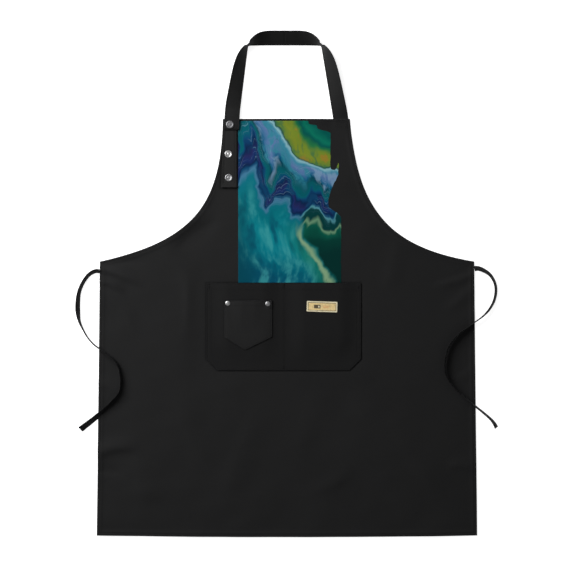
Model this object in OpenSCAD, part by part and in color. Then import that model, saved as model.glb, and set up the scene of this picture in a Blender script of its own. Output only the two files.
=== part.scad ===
// Bib apron for painting, lying flat with its front up.
// +X is to the right of the front, +Y points to the neck and +Z is up.
// The origin is on the surface under the middle of the apron's length and width.

/* [Body] */
// Length over all, from the hem to the top of the neck strap
apron_l = 932; // [880:1:1000]
// Width across the bottom hem
hem_w = 701; // [690:1:740]
// Width across the waist, where the ties are sewn on
waist_w = 690; // [660:1:690]
// Width across the top of the bib
bib_w = 234.5; // [228:0.5:250]
// Height of the bib, from the tie corners to its top edge
bib_h = 263; // [255:1:275]
// How far the bottom hem bows out in the middle
hem_bow = 3; // [1:0.5:8]
// Thickness of the body at its turned hems
cloth_t = 2; // [2:0.1:2.4]

/* [Neck strap] */
// Width of the strap
strap_w = 28; // [25:0.5:30]
// Thickness of the strap, two layers sewn together
strap_t = 1.2; // [0.9:0.1:1.2]
// Height of the neck loop above the bib
loop_h = 161; // [150:1:175]
// Gap between the strap's two sides at the bib
loop_gap_low = 173; // [165:1:176]
// Gap between the two corners at the top of the loop
loop_gap_top = 135; // [120:1:145]
// Length of the snapped end below the bib's top edge
end_l = 21; // [20:1:24]
// Length of the other end, sewn behind the bib
anchor_l = 22; // [16:1:30]

/* [Snaps] */
// Diameter of the snap's cap on the strap
cap_d = 15; // [12:0.5:15]
// Diameter of the socket under it
socket_d = 10; // [9.5:0.5:11]
// Diameter of the studs on the placket
stud_rim_d = 13.5; // [12:0.5:14]
// Length of the placket that the studs are set in
placket_l = 123; // [118:1:125]
// Width of the placket at its top end
placket_top_w = 26; // [24:0.5:28]
// Width of the placket at its lower end
placket_low_w = 30; // [28:0.5:34]

/* [Front pocket] */
// Width of the pocket
pocket_w = 285; // [275:1:300]
// Height of the pocket
pocket_h = 161; // [155:1:180]
// Cut at its two lower corners
pocket_cut = 21; // [12:1:26]
// Room inside the pocket when it lies flat
pocket_gap = 5; // [5:0.1:8]
// Thickness of the pocket's cloth
pocket_t = 1; // [0.8:0.1:1.4]

/* [Patch pocket] */
// Width of the patch pocket
patch_w = 88.5; // [84:0.5:90]
// Height of its straight sides
patch_h = 67; // [62:1:75]
// Height of its pointed lower end
patch_point = 24; // [16:1:26]
// Room inside it when it lies flat
patch_gap = 4.4; // [4.4:0.1:6]
// Thickness of its cloth
patch_t = 0.8; // [0.6:0.1:1.2]
// Diameter of the two rivet heads
rivet_d = 9.5; // [8:0.5:10]

/* [Label] */
// Width of the metal label
label_w = 56.5; // [50:0.5:62]
// Height of the metal label
label_h = 19.5; // [18:0.5:24]
// Thickness of the metal label
label_t = 1; // [0.6:0.1:1.5]

/* [Print] */
// Width of the printed panel on the bib
print_w = 190; // [180:1:194]

/* [Waist ties] */
// Width of the tape
tie_w = 13; // [11:0.5:14]
// Thickness of the tape
tie_t = 1.4; // [1:0.1:1.8]

/* [Hidden] */
half_l = apron_l / 2;
bib_y = half_l - loop_h;
waist_y = bib_y - bib_h;
$fn = 48;

// Clearance between pieces that are not sewn or riveted to each other
gap = 0.4;

// The bib lies a little to the left of the middle
bib_shift = -1.25;
// Armholes: control points of each curve, from the bib corner and from the waist corner
right_arm = [[14, -170], [-157, 27]];
left_arm = [[3, -165], [-168, 38]];
ARM_STEPS = 24;
HEM_STEPS = 12;

// The print's irregular side, as points from its top to its bottom: [inset, height above the lower edge]
PRINT_SIDE = [
    [61, 298], [58, 292], [46, 290], [42, 283], [24, 278], [20, 276], [20, 210], [9, 208],
    [5, 222], [7, 196], [18, 172], [24, 150], [22, 138], [3, 126], [0, 118], [0, 0]
];
print_h = 298;
print_x = -90;
print_t = 0.2;

// Neck strap: its two inner edges, both ending in a corner at the top of the loop
loop_x = -1.5;
loop_top_x = -4.5;
// The top of the loop leans a little on its inner edge
band_lean = 22;
loop_in_y = half_l - strap_w * cos(band_lean);
left_low = [loop_x - loop_gap_low / 2, bib_y];
left_top = [loop_top_x - loop_gap_top / 2, loop_in_y];
right_low = [loop_x + loop_gap_low / 2, bib_y];
right_top = [loop_top_x + loop_gap_top / 2, loop_in_y];
left_dir = (left_top - left_low) / norm(left_top - left_low);
right_dir = (right_top - right_low) / norm(right_top - right_low);
// Directions from each inner edge to its outer edge
left_out = [-left_dir[1], left_dir[0]];
right_out = [right_dir[1], -right_dir[0]];
// The strap stands on edge in the loop's two corners. limb_half is how far down a side it has
// turned half of the way back, and band_rise is where the top reaches its own lean
limb_half = 34;
limb_flat = 2;
band_rise = 45;
// Where the snapped end bends, above the bib's top edge
fold_up = 15;
fold_gap = 0.8;
left_start = left_low + left_dir * fold_up / left_dir[1];
// Placket on the bib, of the same cloth as the strap
placket_x = left_low[0] - 3.5;
placket_low_y = bib_y - 4 - placket_l;
placket_z = cloth_t + strap_t;
// The snapped end lies on top of a snap, and the strap comes down to the surface beyond it
end_z = placket_z + 2.4;
end_drop_l = 75;

// Snaps, from the bib's edge down. The strap is on the first one
SNAPS = [[-105, 294], [-108, 240], [-107.5, 196.5]];
cap_h = 1.9;
barrel_d = 3.6;
stud_d = 4.4;
stud_h = 1.6;
socket_bore_d = 6;
socket_web = 0.5;
socket_lift = 0.8;
post_recess = 0.9;
post_flange_t = 0.6;
post_flange_d = 10;
post_d = 2.5;

// Front pocket: flat sewn edges, then a slope up to the front
pocket_x = -6;
pocket_y = waist_y - 40;
seam_w = 6;
divider_w = 8;
slope_w = 12;
slope_l = 29;
pocket_in_z = cloth_t + pocket_gap;
pocket_z = pocket_in_z + pocket_t;

// Patch pocket, on the left of the front pocket
patch_x = -71.5;
patch_y = pocket_y - 32;
patch_point_x = -77;
patch_seam = 13;
patch_slope = 8;
patch_slope_l = 20;
patch_in_z = pocket_z + patch_gap;
patch_z = patch_in_z + patch_t;

// Rivets at the patch pocket's upper corners
RIVETS = [[-109, -35], [-35.5, -36]];
rivet_shank_d = 3.2;
rivet_head_h = 1.6;
burr_t = 0.6;
hole_gap = 0.1;

// Metal label, on the right of the front pocket, held by four prongs through a backing
label_at = [64.5, -41.3];
label_turn = -1.8;
prong_at = [22, 5];
prong_d = 1.2;
label_edge = 0.8;
backing_cut = [8, 5];
backing_t = 0.6;

// Waist ties: [x, y, height of the tape's lower side, turn of the tape from flat to on edge]
LEFT_TIE = [
    [-345, 24, 0.3, 56], [-353, 24, 0.3, 58], [-363, 19, 0.1, 64], [-371, 10, 0.1, 67],
    [-378, -2, 0.1, 67], [-383, -16, 0.1, 65], [-385, -32, 0.1, 58], [-385, -50, 0.1, 57],
    [-382, -68, 0.1, 78], [-375, -84, 0.1, 88], [-366, -99, 0.8, 90], [-355, -111, 2.3, 90],
    [-344, -119, 2.3, 88], [-332, -128, 2.3, 84], [-319, -138, 2.3, 82], [-310, -151, 2.3, 82],
    [-306, -167, 2.3, 80], [-305, -184, 2.3, 78], [-308, -199, 2.3, 76], [-317, -211, 2.3, 72],
    [-328, -223, 2.3, 64], [-338, -233, 2.3, 54], [-347, -241, 2.3, 47], [-356, -248.5, 1.4, 44],
    [-365, -255.5, 0.3, 40], [-373, -261.5, 0.2, 36], [-380.5, -267.5, 0.2, 32]
];
RIGHT_TIE = [
    [345, 29, 0.3, 45], [353, 29, 0.3, 50], [363, 25, 0.1, 56], [373, 18, 0.1, 66],
    [380, 8, 0.1, 70], [384, -4, 0.1, 71], [384, -18, 0.1, 71], [380, -33, 0.1, 72],
    [371, -48, 0.4, 74], [359, -60, 2.3, 78], [345, -70, 2.3, 80], [332, -79, 2.3, 78],
    [319, -89, 2.3, 76], [306, -102, 2.3, 74], [297, -116, 2.3, 72], [292, -134, 2.3, 72],
    [290, -152, 2.3, 72], [293, -168, 2.3, 72], [301, -182, 2.3, 74], [312, -195, 2.3, 76],
    [326, -207, 2.3, 78], [338, -217, 2.3, 78], [349, -226.5, 2.3, 76], [359, -234.5, 1, 74],
    [368, -242, 0.1, 72], [376, -249.5, 0.1, 68], [381.5, -256.5, 0.1, 60], [385.5, -264, 0.1, 54]
];

// ---- Shared functions and shapes ----

function bezier(a, b, c, d, t) =
    a * pow(1 - t, 3) + b * 3 * t * pow(1 - t, 2) + c * 3 * t * t * (1 - t) + d * pow(t, 3);

function mirrored(points) = [for (i = [len(points) - 1:-1:0]) [-points[i][0], points[i][1]]];

// Half of the body's outline, from the bib's corner down to the middle of the hem
function half_outline(bib_x, arm) =
    let (
        top = [bib_x, bib_y],
        waist = [waist_w / 2, waist_y]
    )
    concat(
        [for (i = [0:ARM_STEPS]) bezier(top, top + arm[0], waist + arm[1], waist, i / ARM_STEPS)],
        [for (i = [0:HEM_STEPS])
            let (x = hem_w / 2 * (1 - i / HEM_STEPS))
            [x, -half_l + hem_bow * pow(2 * x / hem_w, 2)]]
    );

function dome(r, h, steps = 6) =
    [for (i = [0:steps]) [r * cos(90 * i / steps), h * sin(90 * i / steps)]];

// Four corners of the strap's section: a is its inner edge, out points to its outer edge and
// turn is the angle at which it stands up
function strap_section(a, out, turn, stretch = 1) =
    let (
        side = [cos(turn) * out[0], cos(turn) * out[1], sin(turn)],
        up = [-sin(turn) * out[0] * stretch, -sin(turn) * out[1] * stretch, cos(turn)] * strap_t / 2,
        base = a + [0, 0, strap_t / 2 * cos(turn)]
    )
    [base - up, base + side * strap_w - up, base + side * strap_w + up, base + up];

// Angle at which the strap stands, a distance d from the loop's corner
function limb_turn(d, reach) = d >= reach ? 0 : 90 / (1 + d / limb_half) * (1 - pow(d / reach, 6));
function band_turn(d) = band_lean + (90 - band_lean) * pow(max(0, 1 - d / band_rise), 2);

// Height that the strap's snapped side keeps above the surface, a distance d beyond the fold
function end_drop(d) = d >= end_drop_l ? 0 : end_z * (1 + cos(180 * d / end_drop_l)) / 2;

// Sections along one side of the loop, from its low end to its corner
function limb_sections(low, top, out, steps, drops) =
    let (length = norm(top - low))
    [for (i = [0:steps - 1])
        let (
            d = length * i / steps,
            p = low + (top - low) * i / steps
        )
        strap_section(
            [p[0], p[1], drops ? end_drop(d) : 0], out, limb_turn(length - d, length - limb_flat)
        )];

function corner_section(p, out) =
    let (
        mid = (out + [0, 1]) / norm(out + [0, 1]),
        stretch = 1 / (mid * [0, 1])
    )
    strap_section([p[0], p[1], 0], mid, 90, stretch);

// Sections along the top of the loop, between its corners
function band_sections(steps) =
    let (width = right_top[0] - left_top[0])
    [for (i = [1:steps - 1])
        let (
            d = width * i / steps,
            nearest = min(d, width - d)
        )
        strap_section([left_top[0] + d, loop_in_y, 0], [0, 1], band_turn(nearest))];

// Turns over sections that were made from the far side, so that all of them wind the same way
function swapped(sections) = [for (i = [len(sections) - 1:-1:0]) sections[i]];

// One closed solid through a list of sections with the same number of corners each
module skin(sections) {
    n = len(sections[0]);
    last = (len(sections) - 1) * n;
    points = [for (s = sections) each s];
    sides = [for (i = [0:len(sections) - 2], j = [0:n - 1])
        let (
            k = (j + 1) % n,
            a = i * n
        )
        each [[a + j, a + n + j, a + n + k], [a + j, a + n + k, a + k]]];
    start = [for (j = [1:n - 2]) [0, j, j + 1]];
    end = [for (j = [1:n - 2]) [last, last + j + 1, last + j]];
    polyhedron(points = points, faces = concat(sides, start, end), convexity = 6);
}

// Eight corners of a tape's section at one point of its route, across the direction of travel
function tape_section(p, travel, turn) =
    let (
        flat = [travel[1], -travel[0], 0] / norm(travel),
        wide = flat * cos(turn) + [0, 0, sin(turn)],
        thick = cross([travel[0], travel[1], 0] / norm(travel), wide),
        w = tie_w / 2,
        t = tie_t / 2,
        c = tie_t / 4,
        base = [p[0], p[1], p[2] + w * sin(turn) + t * cos(turn)]
    )
    [for (q = [[w, t - c], [w - c, t], [c - w, t], [-w, t - c], [-w, c - t], [c - w, -t], [w - c, -t], [w, c - t]])
        base + wide * q[0] + thick * q[1]];

function tape_sections(route) =
    [for (i = [0:len(route) - 1])
        let (
            a = route[max(i - 1, 0)],
            b = route[min(i + 1, len(route) - 1)]
        )
        tape_section(route[i], [b[0] - a[0], b[1] - a[1]], route[i][3])];

module block(profile, width) {
    rotate([90, 0, 90])
        linear_extrude(width)
            polygon(profile);
}

// A pocket's front as a solid block: an outline, arched by a profile across and a profile along.
// Each profile is a list of [position, height]
module arched(outline, across, along, low, reach) {
    intersection() {
        translate([0, 0, low])
            linear_extrude(reach)
                polygon(outline);
        rotate([90, 0, 0])
            translate([0, 0, -reach * 20])
                linear_extrude(reach * 40)
                    polygon(concat([[across[0][0], low]], across, [[across[len(across) - 1][0], low]]));
        translate([-reach * 20, 0, 0])
            block(concat([[along[0][0], low]], along, [[along[len(along) - 1][0], low]]), reach * 40);
    }
}

// ---- Body ----

module anchor_outline(grow = 0) {
    top = right_low;
    polygon([
        top + right_dir * grow - right_out * grow,
        top + right_dir * grow + right_out * (strap_w + grow),
        top - right_dir * (anchor_l + grow) + right_out * (strap_w + grow),
        top - right_dir * (anchor_l + grow) - right_out * grow
    ]);
}

module body_panel() {
    right = half_outline(bib_w / 2 + bib_shift, right_arm);
    left = half_outline(bib_w / 2 - bib_shift, left_arm);
    color([0.13, 0.13, 0.14])
        difference() {
            linear_extrude(cloth_t)
                polygon(concat(right, mirrored([for (i = [0:len(left) - 2]) left[i]])));
            for (p = SNAPS) {
                translate([p[0], p[1], -1])
                    cylinder(d = post_flange_d + 2 * gap, h = 1 + post_recess);
                translate([p[0], p[1], 0])
                    cylinder(d = post_d + hole_gap, h = cloth_t + 1);
            }
            translate([0, 0, -1])
                linear_extrude(1 + strap_t)
                    anchor_outline(0.2);
        }
}

module art_panel() {
    low = pocket_y + 1;
    color([0.05, 0.45, 0.5])
        translate([0, 0, cloth_t])
            linear_extrude(print_t)
                polygon(concat(
                    [[print_x, low], [print_x, low + print_h]],
                    [for (p = PRINT_SIDE) [print_x + print_w - p[0], low + p[1]]]
                ));
}

// ---- Pockets ----

function pocket_outline(inset, mouth) =
    let (
        l = pocket_x - pocket_w / 2 + inset,
        r = pocket_x + pocket_w / 2 - inset,
        b = pocket_y - pocket_h + inset,
        c = pocket_cut - inset * 0.6
    )
    [[l, mouth], [r, mouth], [r, b + c], [r - c, b], [l + c, b], [l, b + c]];

function pocket_across(seam_z, top_z) =
    let (
        l = pocket_x - pocket_w / 2,
        r = pocket_x + pocket_w / 2,
        m = divider_w / 2
    )
    [
        [l, seam_z], [l + seam_w, seam_z], [l + seam_w + slope_w, top_z],
        [pocket_x - m - slope_w, top_z], [pocket_x - m, seam_z],
        [pocket_x + m, seam_z], [pocket_x + m + slope_w, top_z],
        [r - seam_w - slope_w, top_z], [r - seam_w, seam_z], [r, seam_z]
    ];

function pocket_along(seam_z, top_z, mouth) =
    let (b = pocket_y - pocket_h)
    [[b, seam_z], [b + seam_w, seam_z], [b + seam_w + slope_l, top_z], [mouth, top_z]];

module rivet_holes(low) {
    for (p = RIVETS)
        translate([p[0], p[1], low])
            cylinder(d = rivet_shank_d + hole_gap, h = patch_z);
}

module at_prongs() {
    translate([label_at[0], label_at[1], 0])
        rotate([0, 0, label_turn])
            for (x = [-1, 1], y = [-1, 1])
                translate([x * prong_at[0], y * prong_at[1], 0])
                    children();
}

module front_pocket() {
    reach = pocket_z + 10;
    color([0.12, 0.12, 0.13])
        difference() {
            arched(
                pocket_outline(0, pocket_y),
                pocket_across(cloth_t + pocket_t, pocket_z),
                pocket_along(cloth_t + pocket_t, pocket_z, pocket_y),
                cloth_t, reach
            );
            arched(
                pocket_outline(seam_w, pocket_y + seam_w),
                pocket_across(cloth_t, pocket_in_z),
                pocket_along(cloth_t, pocket_in_z, pocket_y + seam_w),
                cloth_t - 1, reach
            );
            rivet_holes(cloth_t);
            at_prongs()
                cylinder(d = prong_d + hole_gap, h = patch_z);
        }
}

function patch_outline(mouth) =
    let (
        l = patch_x - patch_w / 2,
        r = patch_x + patch_w / 2,
        b = patch_y - patch_h
    )
    [[l, mouth], [r, mouth], [r, b], [patch_point_x, b - patch_point], [l, b]];

function patch_across(seam_z, top_z) =
    let (
        l = patch_x - patch_w / 2,
        r = patch_x + patch_w / 2
    )
    [
        [l, seam_z], [l + patch_seam, seam_z], [l + patch_seam + patch_slope, top_z],
        [r - patch_seam - patch_slope, top_z], [r - patch_seam, seam_z], [r, seam_z]
    ];

function patch_along(seam_z, top_z, mouth) =
    let (b = patch_y - patch_h)
    [[b - patch_point, seam_z], [b, seam_z], [b + patch_slope_l, top_z], [mouth, top_z]];

module patch_pocket() {
    reach = patch_z + 10;
    color([0.11, 0.11, 0.12])
        difference() {
            arched(
                patch_outline(patch_y),
                patch_across(pocket_z + patch_t, patch_z),
                patch_along(pocket_z + patch_t, patch_z, patch_y),
                pocket_z, reach
            );
            arched(
                patch_outline(patch_y + seam_w),
                patch_across(pocket_z, patch_in_z),
                patch_along(pocket_z, patch_in_z, patch_y + seam_w),
                pocket_z - 1, reach
            );
            rivet_holes(pocket_z - 1);
        }
}

// ---- Rivets and label ----

module rivet_head(p) {
    top = pocket_z + patch_t;
    low = pocket_in_z - burr_t;
    color([0.75, 0.75, 0.76])
        translate([p[0], p[1], 0])
            union() {
                translate([0, 0, top])
                    rotate_extrude()
                        polygon(concat([[0, 0]], dome(rivet_d / 2, rivet_head_h)));
                translate([0, 0, low])
                    cylinder(d = rivet_shank_d, h = top - low);
            }
}

module rivet_burr(p) {
    color([0.7, 0.7, 0.71])
        translate([p[0], p[1], pocket_in_z - burr_t])
            difference() {
                cylinder(d = rivet_d - 1, h = burr_t);
                translate([0, 0, -1])
                    cylinder(d = rivet_shank_d + hole_gap, h = burr_t + 2);
            }
}

module label_shape(cut_w, cut_h) {
    square([label_w - cut_w, label_h - cut_h], center = true);
}

module label_plate() {
    color([0.86, 0.76, 0.5])
        union() {
            translate([label_at[0], label_at[1], pocket_z])
                rotate([0, 0, label_turn]) {
                    linear_extrude(label_t * 0.6)
                        label_shape(0, 0);
                    linear_extrude(label_t)
                        label_shape(label_edge * 2, label_edge * 2);
                }
            translate([0, 0, pocket_in_z - backing_t])
                at_prongs()
                    cylinder(d = prong_d, h = pocket_t + backing_t + 0.1);
        }
}

module label_backing() {
    color([0.6, 0.6, 0.6])
        difference() {
            translate([label_at[0], label_at[1], pocket_in_z - backing_t])
                rotate([0, 0, label_turn])
                    linear_extrude(backing_t)
                        label_shape(backing_cut[0], backing_cut[1]);
            at_prongs()
                cylinder(d = prong_d + hole_gap, h = pocket_z);
        }
}

// ---- Snaps: cap and socket on the strap, studs and posts on the bib ----

module snap_placket() {
    color([0.12, 0.12, 0.13])
        difference() {
            translate([placket_x, placket_low_y, cloth_t])
                linear_extrude(strap_t)
                    polygon([[0, 0], [0, placket_l], [-placket_top_w, placket_l], [-placket_low_w, 0]]);
            for (p = SNAPS)
                translate([p[0], p[1], 0])
                    cylinder(d = post_d + hole_gap, h = placket_z + 1);
        }
}

module snap_cap(p) {
    color([0.78, 0.78, 0.79])
        translate([p[0], p[1], 0])
            union() {
                translate([0, 0, end_z + strap_t])
                    rotate_extrude()
                        polygon(concat([[0, 0]], dome(cap_d / 2, cap_h)));
                translate([0, 0, end_z - socket_web])
                    cylinder(d = barrel_d, h = strap_t + socket_web + 0.1);
            }
}

module snap_socket(p) {
    low = placket_z + socket_lift;
    color([0.7, 0.7, 0.71])
        translate([p[0], p[1], 0])
            difference() {
                translate([0, 0, low])
                    cylinder(d = socket_d, h = end_z - low);
                translate([0, 0, low - 1])
                    cylinder(d = socket_bore_d, h = end_z - low + 1 - socket_web);
                translate([0, 0, low])
                    cylinder(d = barrel_d + hole_gap, h = end_z);
            }
}

module snap_stud(p) {
    rim_t = 0.3;
    color([0.7, 0.7, 0.71])
        translate([p[0], p[1], placket_z])
            difference() {
                rotate_extrude()
                    polygon([
                        [0, 0], [stud_rim_d / 2, 0], [stud_rim_d / 2, rim_t * 0.5],
                        [stud_rim_d / 2 - 0.5, rim_t], [stud_d / 2, rim_t],
                        [stud_d / 2 - 0.3, rim_t + 0.4], [stud_d / 2, stud_h - 0.4],
                        [stud_d / 2 - 0.4, stud_h], [0, stud_h]
                    ]);
                translate([0, 0, -1])
                    cylinder(d = post_d + hole_gap, h = stud_h + 0.6);
            }
}

module snap_post(p) {
    flange_z = post_recess - post_flange_t;
    color([0.7, 0.7, 0.71])
        translate([p[0], p[1], flange_z])
            union() {
                cylinder(d = post_flange_d, h = post_flange_t);
                cylinder(d = post_d, h = placket_z + stud_h - 0.5 - flange_z);
            }
}

// ---- Neck strap ----

module strap_anchor() {
    color([0.1, 0.1, 0.11])
        linear_extrude(strap_t)
            anchor_outline();
}

module neck_strap() {
    start = right_low + right_dir * gap;
    color([0.1, 0.1, 0.11])
        skin(concat(
            limb_sections(left_start + left_dir * fold_gap / 2, left_top, left_out, 14, true),
            [corner_section(left_top, left_out)],
            band_sections(18),
            [corner_section(right_top, right_out)],
            swapped(limb_sections(start, right_top, right_out, 14, false))
        ));
}

module strap_end() {
    end_y = bib_y - end_l;
    end_x = left_low[0] - 0.8;
    top = left_start - left_dir * fold_gap / 2;
    color([0.11, 0.11, 0.12])
        difference() {
            translate([0, 0, end_z])
                linear_extrude(strap_t)
                    polygon([
                        [end_x - strap_w, end_y], [end_x, end_y],
                        top, top + left_out * strap_w
                    ]);
            translate([SNAPS[0][0], SNAPS[0][1], end_z - 1])
                cylinder(d = barrel_d + hole_gap, h = strap_t + 2);
        }
}

// ---- Waist ties ----

module waist_tie(route) {
    color([0.09, 0.09, 0.1])
        skin(tape_sections(route));
}

body_panel();
art_panel();
front_pocket();
patch_pocket();
label_plate();
label_backing();
rivet_head(RIVETS[0]);  // rivet_head_left
rivet_head(RIVETS[1]);  // rivet_head_right
rivet_burr(RIVETS[0]);  // rivet_burr_left
rivet_burr(RIVETS[1]);  // rivet_burr_right
snap_placket();
snap_post(SNAPS[0]);  // snap_post_1
snap_post(SNAPS[1]);  // snap_post_2
snap_post(SNAPS[2]);  // snap_post_3
snap_stud(SNAPS[0]);  // snap_stud_1
snap_stud(SNAPS[1]);  // snap_stud_2
snap_stud(SNAPS[2]);  // snap_stud_3
snap_socket(SNAPS[0]);
snap_cap(SNAPS[0]);
strap_anchor();
neck_strap();
strap_end();
waist_tie(LEFT_TIE);  // waist_tie_left
waist_tie(RIGHT_TIE);  // waist_tie_right
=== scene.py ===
import math

import bpy
import numpy as np
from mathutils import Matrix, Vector, geometry, noise


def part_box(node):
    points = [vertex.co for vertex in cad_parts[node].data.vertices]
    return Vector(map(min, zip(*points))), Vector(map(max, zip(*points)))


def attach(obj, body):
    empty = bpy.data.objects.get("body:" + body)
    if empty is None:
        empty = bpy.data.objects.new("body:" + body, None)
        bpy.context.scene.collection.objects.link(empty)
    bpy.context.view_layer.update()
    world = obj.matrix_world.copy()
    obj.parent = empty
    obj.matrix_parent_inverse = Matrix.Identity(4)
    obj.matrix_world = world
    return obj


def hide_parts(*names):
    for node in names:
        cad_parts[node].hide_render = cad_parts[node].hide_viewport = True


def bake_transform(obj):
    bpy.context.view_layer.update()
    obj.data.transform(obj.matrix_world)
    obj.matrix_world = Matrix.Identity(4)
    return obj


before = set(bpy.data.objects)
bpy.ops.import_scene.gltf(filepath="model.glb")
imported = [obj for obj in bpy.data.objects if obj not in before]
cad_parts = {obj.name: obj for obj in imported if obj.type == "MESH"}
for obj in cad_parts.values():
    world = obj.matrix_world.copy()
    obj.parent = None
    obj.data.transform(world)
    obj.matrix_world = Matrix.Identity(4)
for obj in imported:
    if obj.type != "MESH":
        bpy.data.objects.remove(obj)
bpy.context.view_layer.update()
MM = 0.001

# ---- Places and sizes, from the frame ----

body_low, body_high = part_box("body_panel")
pocket_low, pocket_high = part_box("front_pocket")
patch_low, patch_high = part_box("patch_pocket")
print_low, print_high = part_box("art_panel")
placket_low, placket_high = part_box("snap_placket")
end_low, end_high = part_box("strap_end")
anchor_low, anchor_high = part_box("strap_anchor")
strap_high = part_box("neck_strap")[1]

CLOTH_T = 0.8 * MM          # one layer of canvas
BODY_Z = body_high.z        # front of the body at its hems and under the pockets
POCKET_Z = pocket_high.z
PATCH_SEAT_Z = patch_low.z
PLACKET_TOP_W = 26 * MM
WAIST = Vector((0.345, 0.042))
BIB_LEFT, BIB_RIGHT = 0.1185, 0.116
RIGHT_ARM = Vector((0.014, -0.170)), Vector((-0.157, 0.027))
LEFT_ARM = Vector((0.003, -0.165)), Vector((-0.168, 0.038))
HEM_BOW = 3 * MM
POCKET_CUT = 21 * MM
POCKET_MID = (pocket_low.x + pocket_high.x) / 2
PATCH_POINT = Vector((-0.077, patch_low.y))
PATCH_SIDE_H = 67 * MM

STRAP_W = 28 * MM
STRAP_T = 1.2 * MM
LEFT_LOW = Vector((-0.088, body_high.y))
RIGHT_LOW = Vector((0.085, body_high.y))
BAND_LEAN = math.radians(22)
BAND_Y = strap_high.y - STRAP_W * math.cos(BAND_LEAN)
LEFT_TOP = Vector((-0.072, BAND_Y))
RIGHT_TOP = Vector((0.063, BAND_Y))
LIMB_HALF = 34 * MM
LIMB_FLAT = 2 * MM
BAND_RISE = 45 * MM
FOLD_UP = 15 * MM
END_Z = end_low.z
END_DROP = 75 * MM

TIE_W = 13 * MM
TIE_T = 1.2 * MM
TIE_SEAM = 1.8 * MM
STRAP_SEAM = 3.2 * MM


def middle(node):
    low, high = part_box(node)
    return (low + high) / 2


# ---- Camera, floor and light ----

CAMERA_H = 2.7
VIEW_W = 1.0569
VIEW_AT = (-0.001, -0.0041)
FLOOR_HALF = 40.0
FLOOR_Z = -0.3 * MM
FLOOR_GLOW = 0.82           # the photo's background is pure white, without a shadow
SKY_GLOW = 0.155


def add_camera():
    data = bpy.data.cameras.new("camera")
    data.sensor_width = 36
    data.lens = data.sensor_width * CAMERA_H / VIEW_W
    camera = bpy.data.objects.new("camera", data)
    camera.location = (VIEW_AT[0], VIEW_AT[1], CAMERA_H)
    bpy.context.collection.objects.link(camera)
    bpy.context.scene.camera = camera


def add_light(name, place, size, power):
    """A square light that points at the middle of the apron."""
    data = bpy.data.lights.new(name, "AREA")
    data.size = size
    data.energy = power
    light = bpy.data.objects.new(name, data)
    light.location = place
    light.rotation_euler = (-Vector(place)).to_track_quat("-Z", "Y").to_euler()
    bpy.context.collection.objects.link(light)


def add_stage():
    made = bpy.data.materials.new("floor")
    made.use_nodes = True
    shader = made.node_tree.nodes["Principled BSDF"]
    shader.inputs["Base Color"].default_value = (0.9, 0.9, 0.9, 1)
    shader.inputs["Roughness"].default_value = 0.9
    shader.inputs["Specular IOR Level"].default_value = 0.1
    shader.inputs["Emission Color"].default_value = (1, 1, 1, 1)
    shader.inputs["Emission Strength"].default_value = FLOOR_GLOW
    corners = [(x * FLOOR_HALF, y * FLOOR_HALF, FLOOR_Z) for x, y in ((-1, -1), (1, -1), (1, 1), (-1, 1))]
    new_object("floor", corners, [(0, 1, 2, 3)], made)
    world = bpy.data.worlds.new("studio")
    world.use_nodes = True
    background = world.node_tree.nodes["Background"]
    background.inputs["Color"].default_value = (1, 1, 1, 1)
    background.inputs["Strength"].default_value = SKY_GLOW
    bpy.context.scene.world = world
    bpy.context.scene.view_settings.view_transform = "Standard"
    add_light("key", (-1.2, 0.8, 1.15), 1.2, 35)
    add_light("fill", (1.6, -1.6, 2.6), 2.0, 4)


# ---- Materials ----

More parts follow.
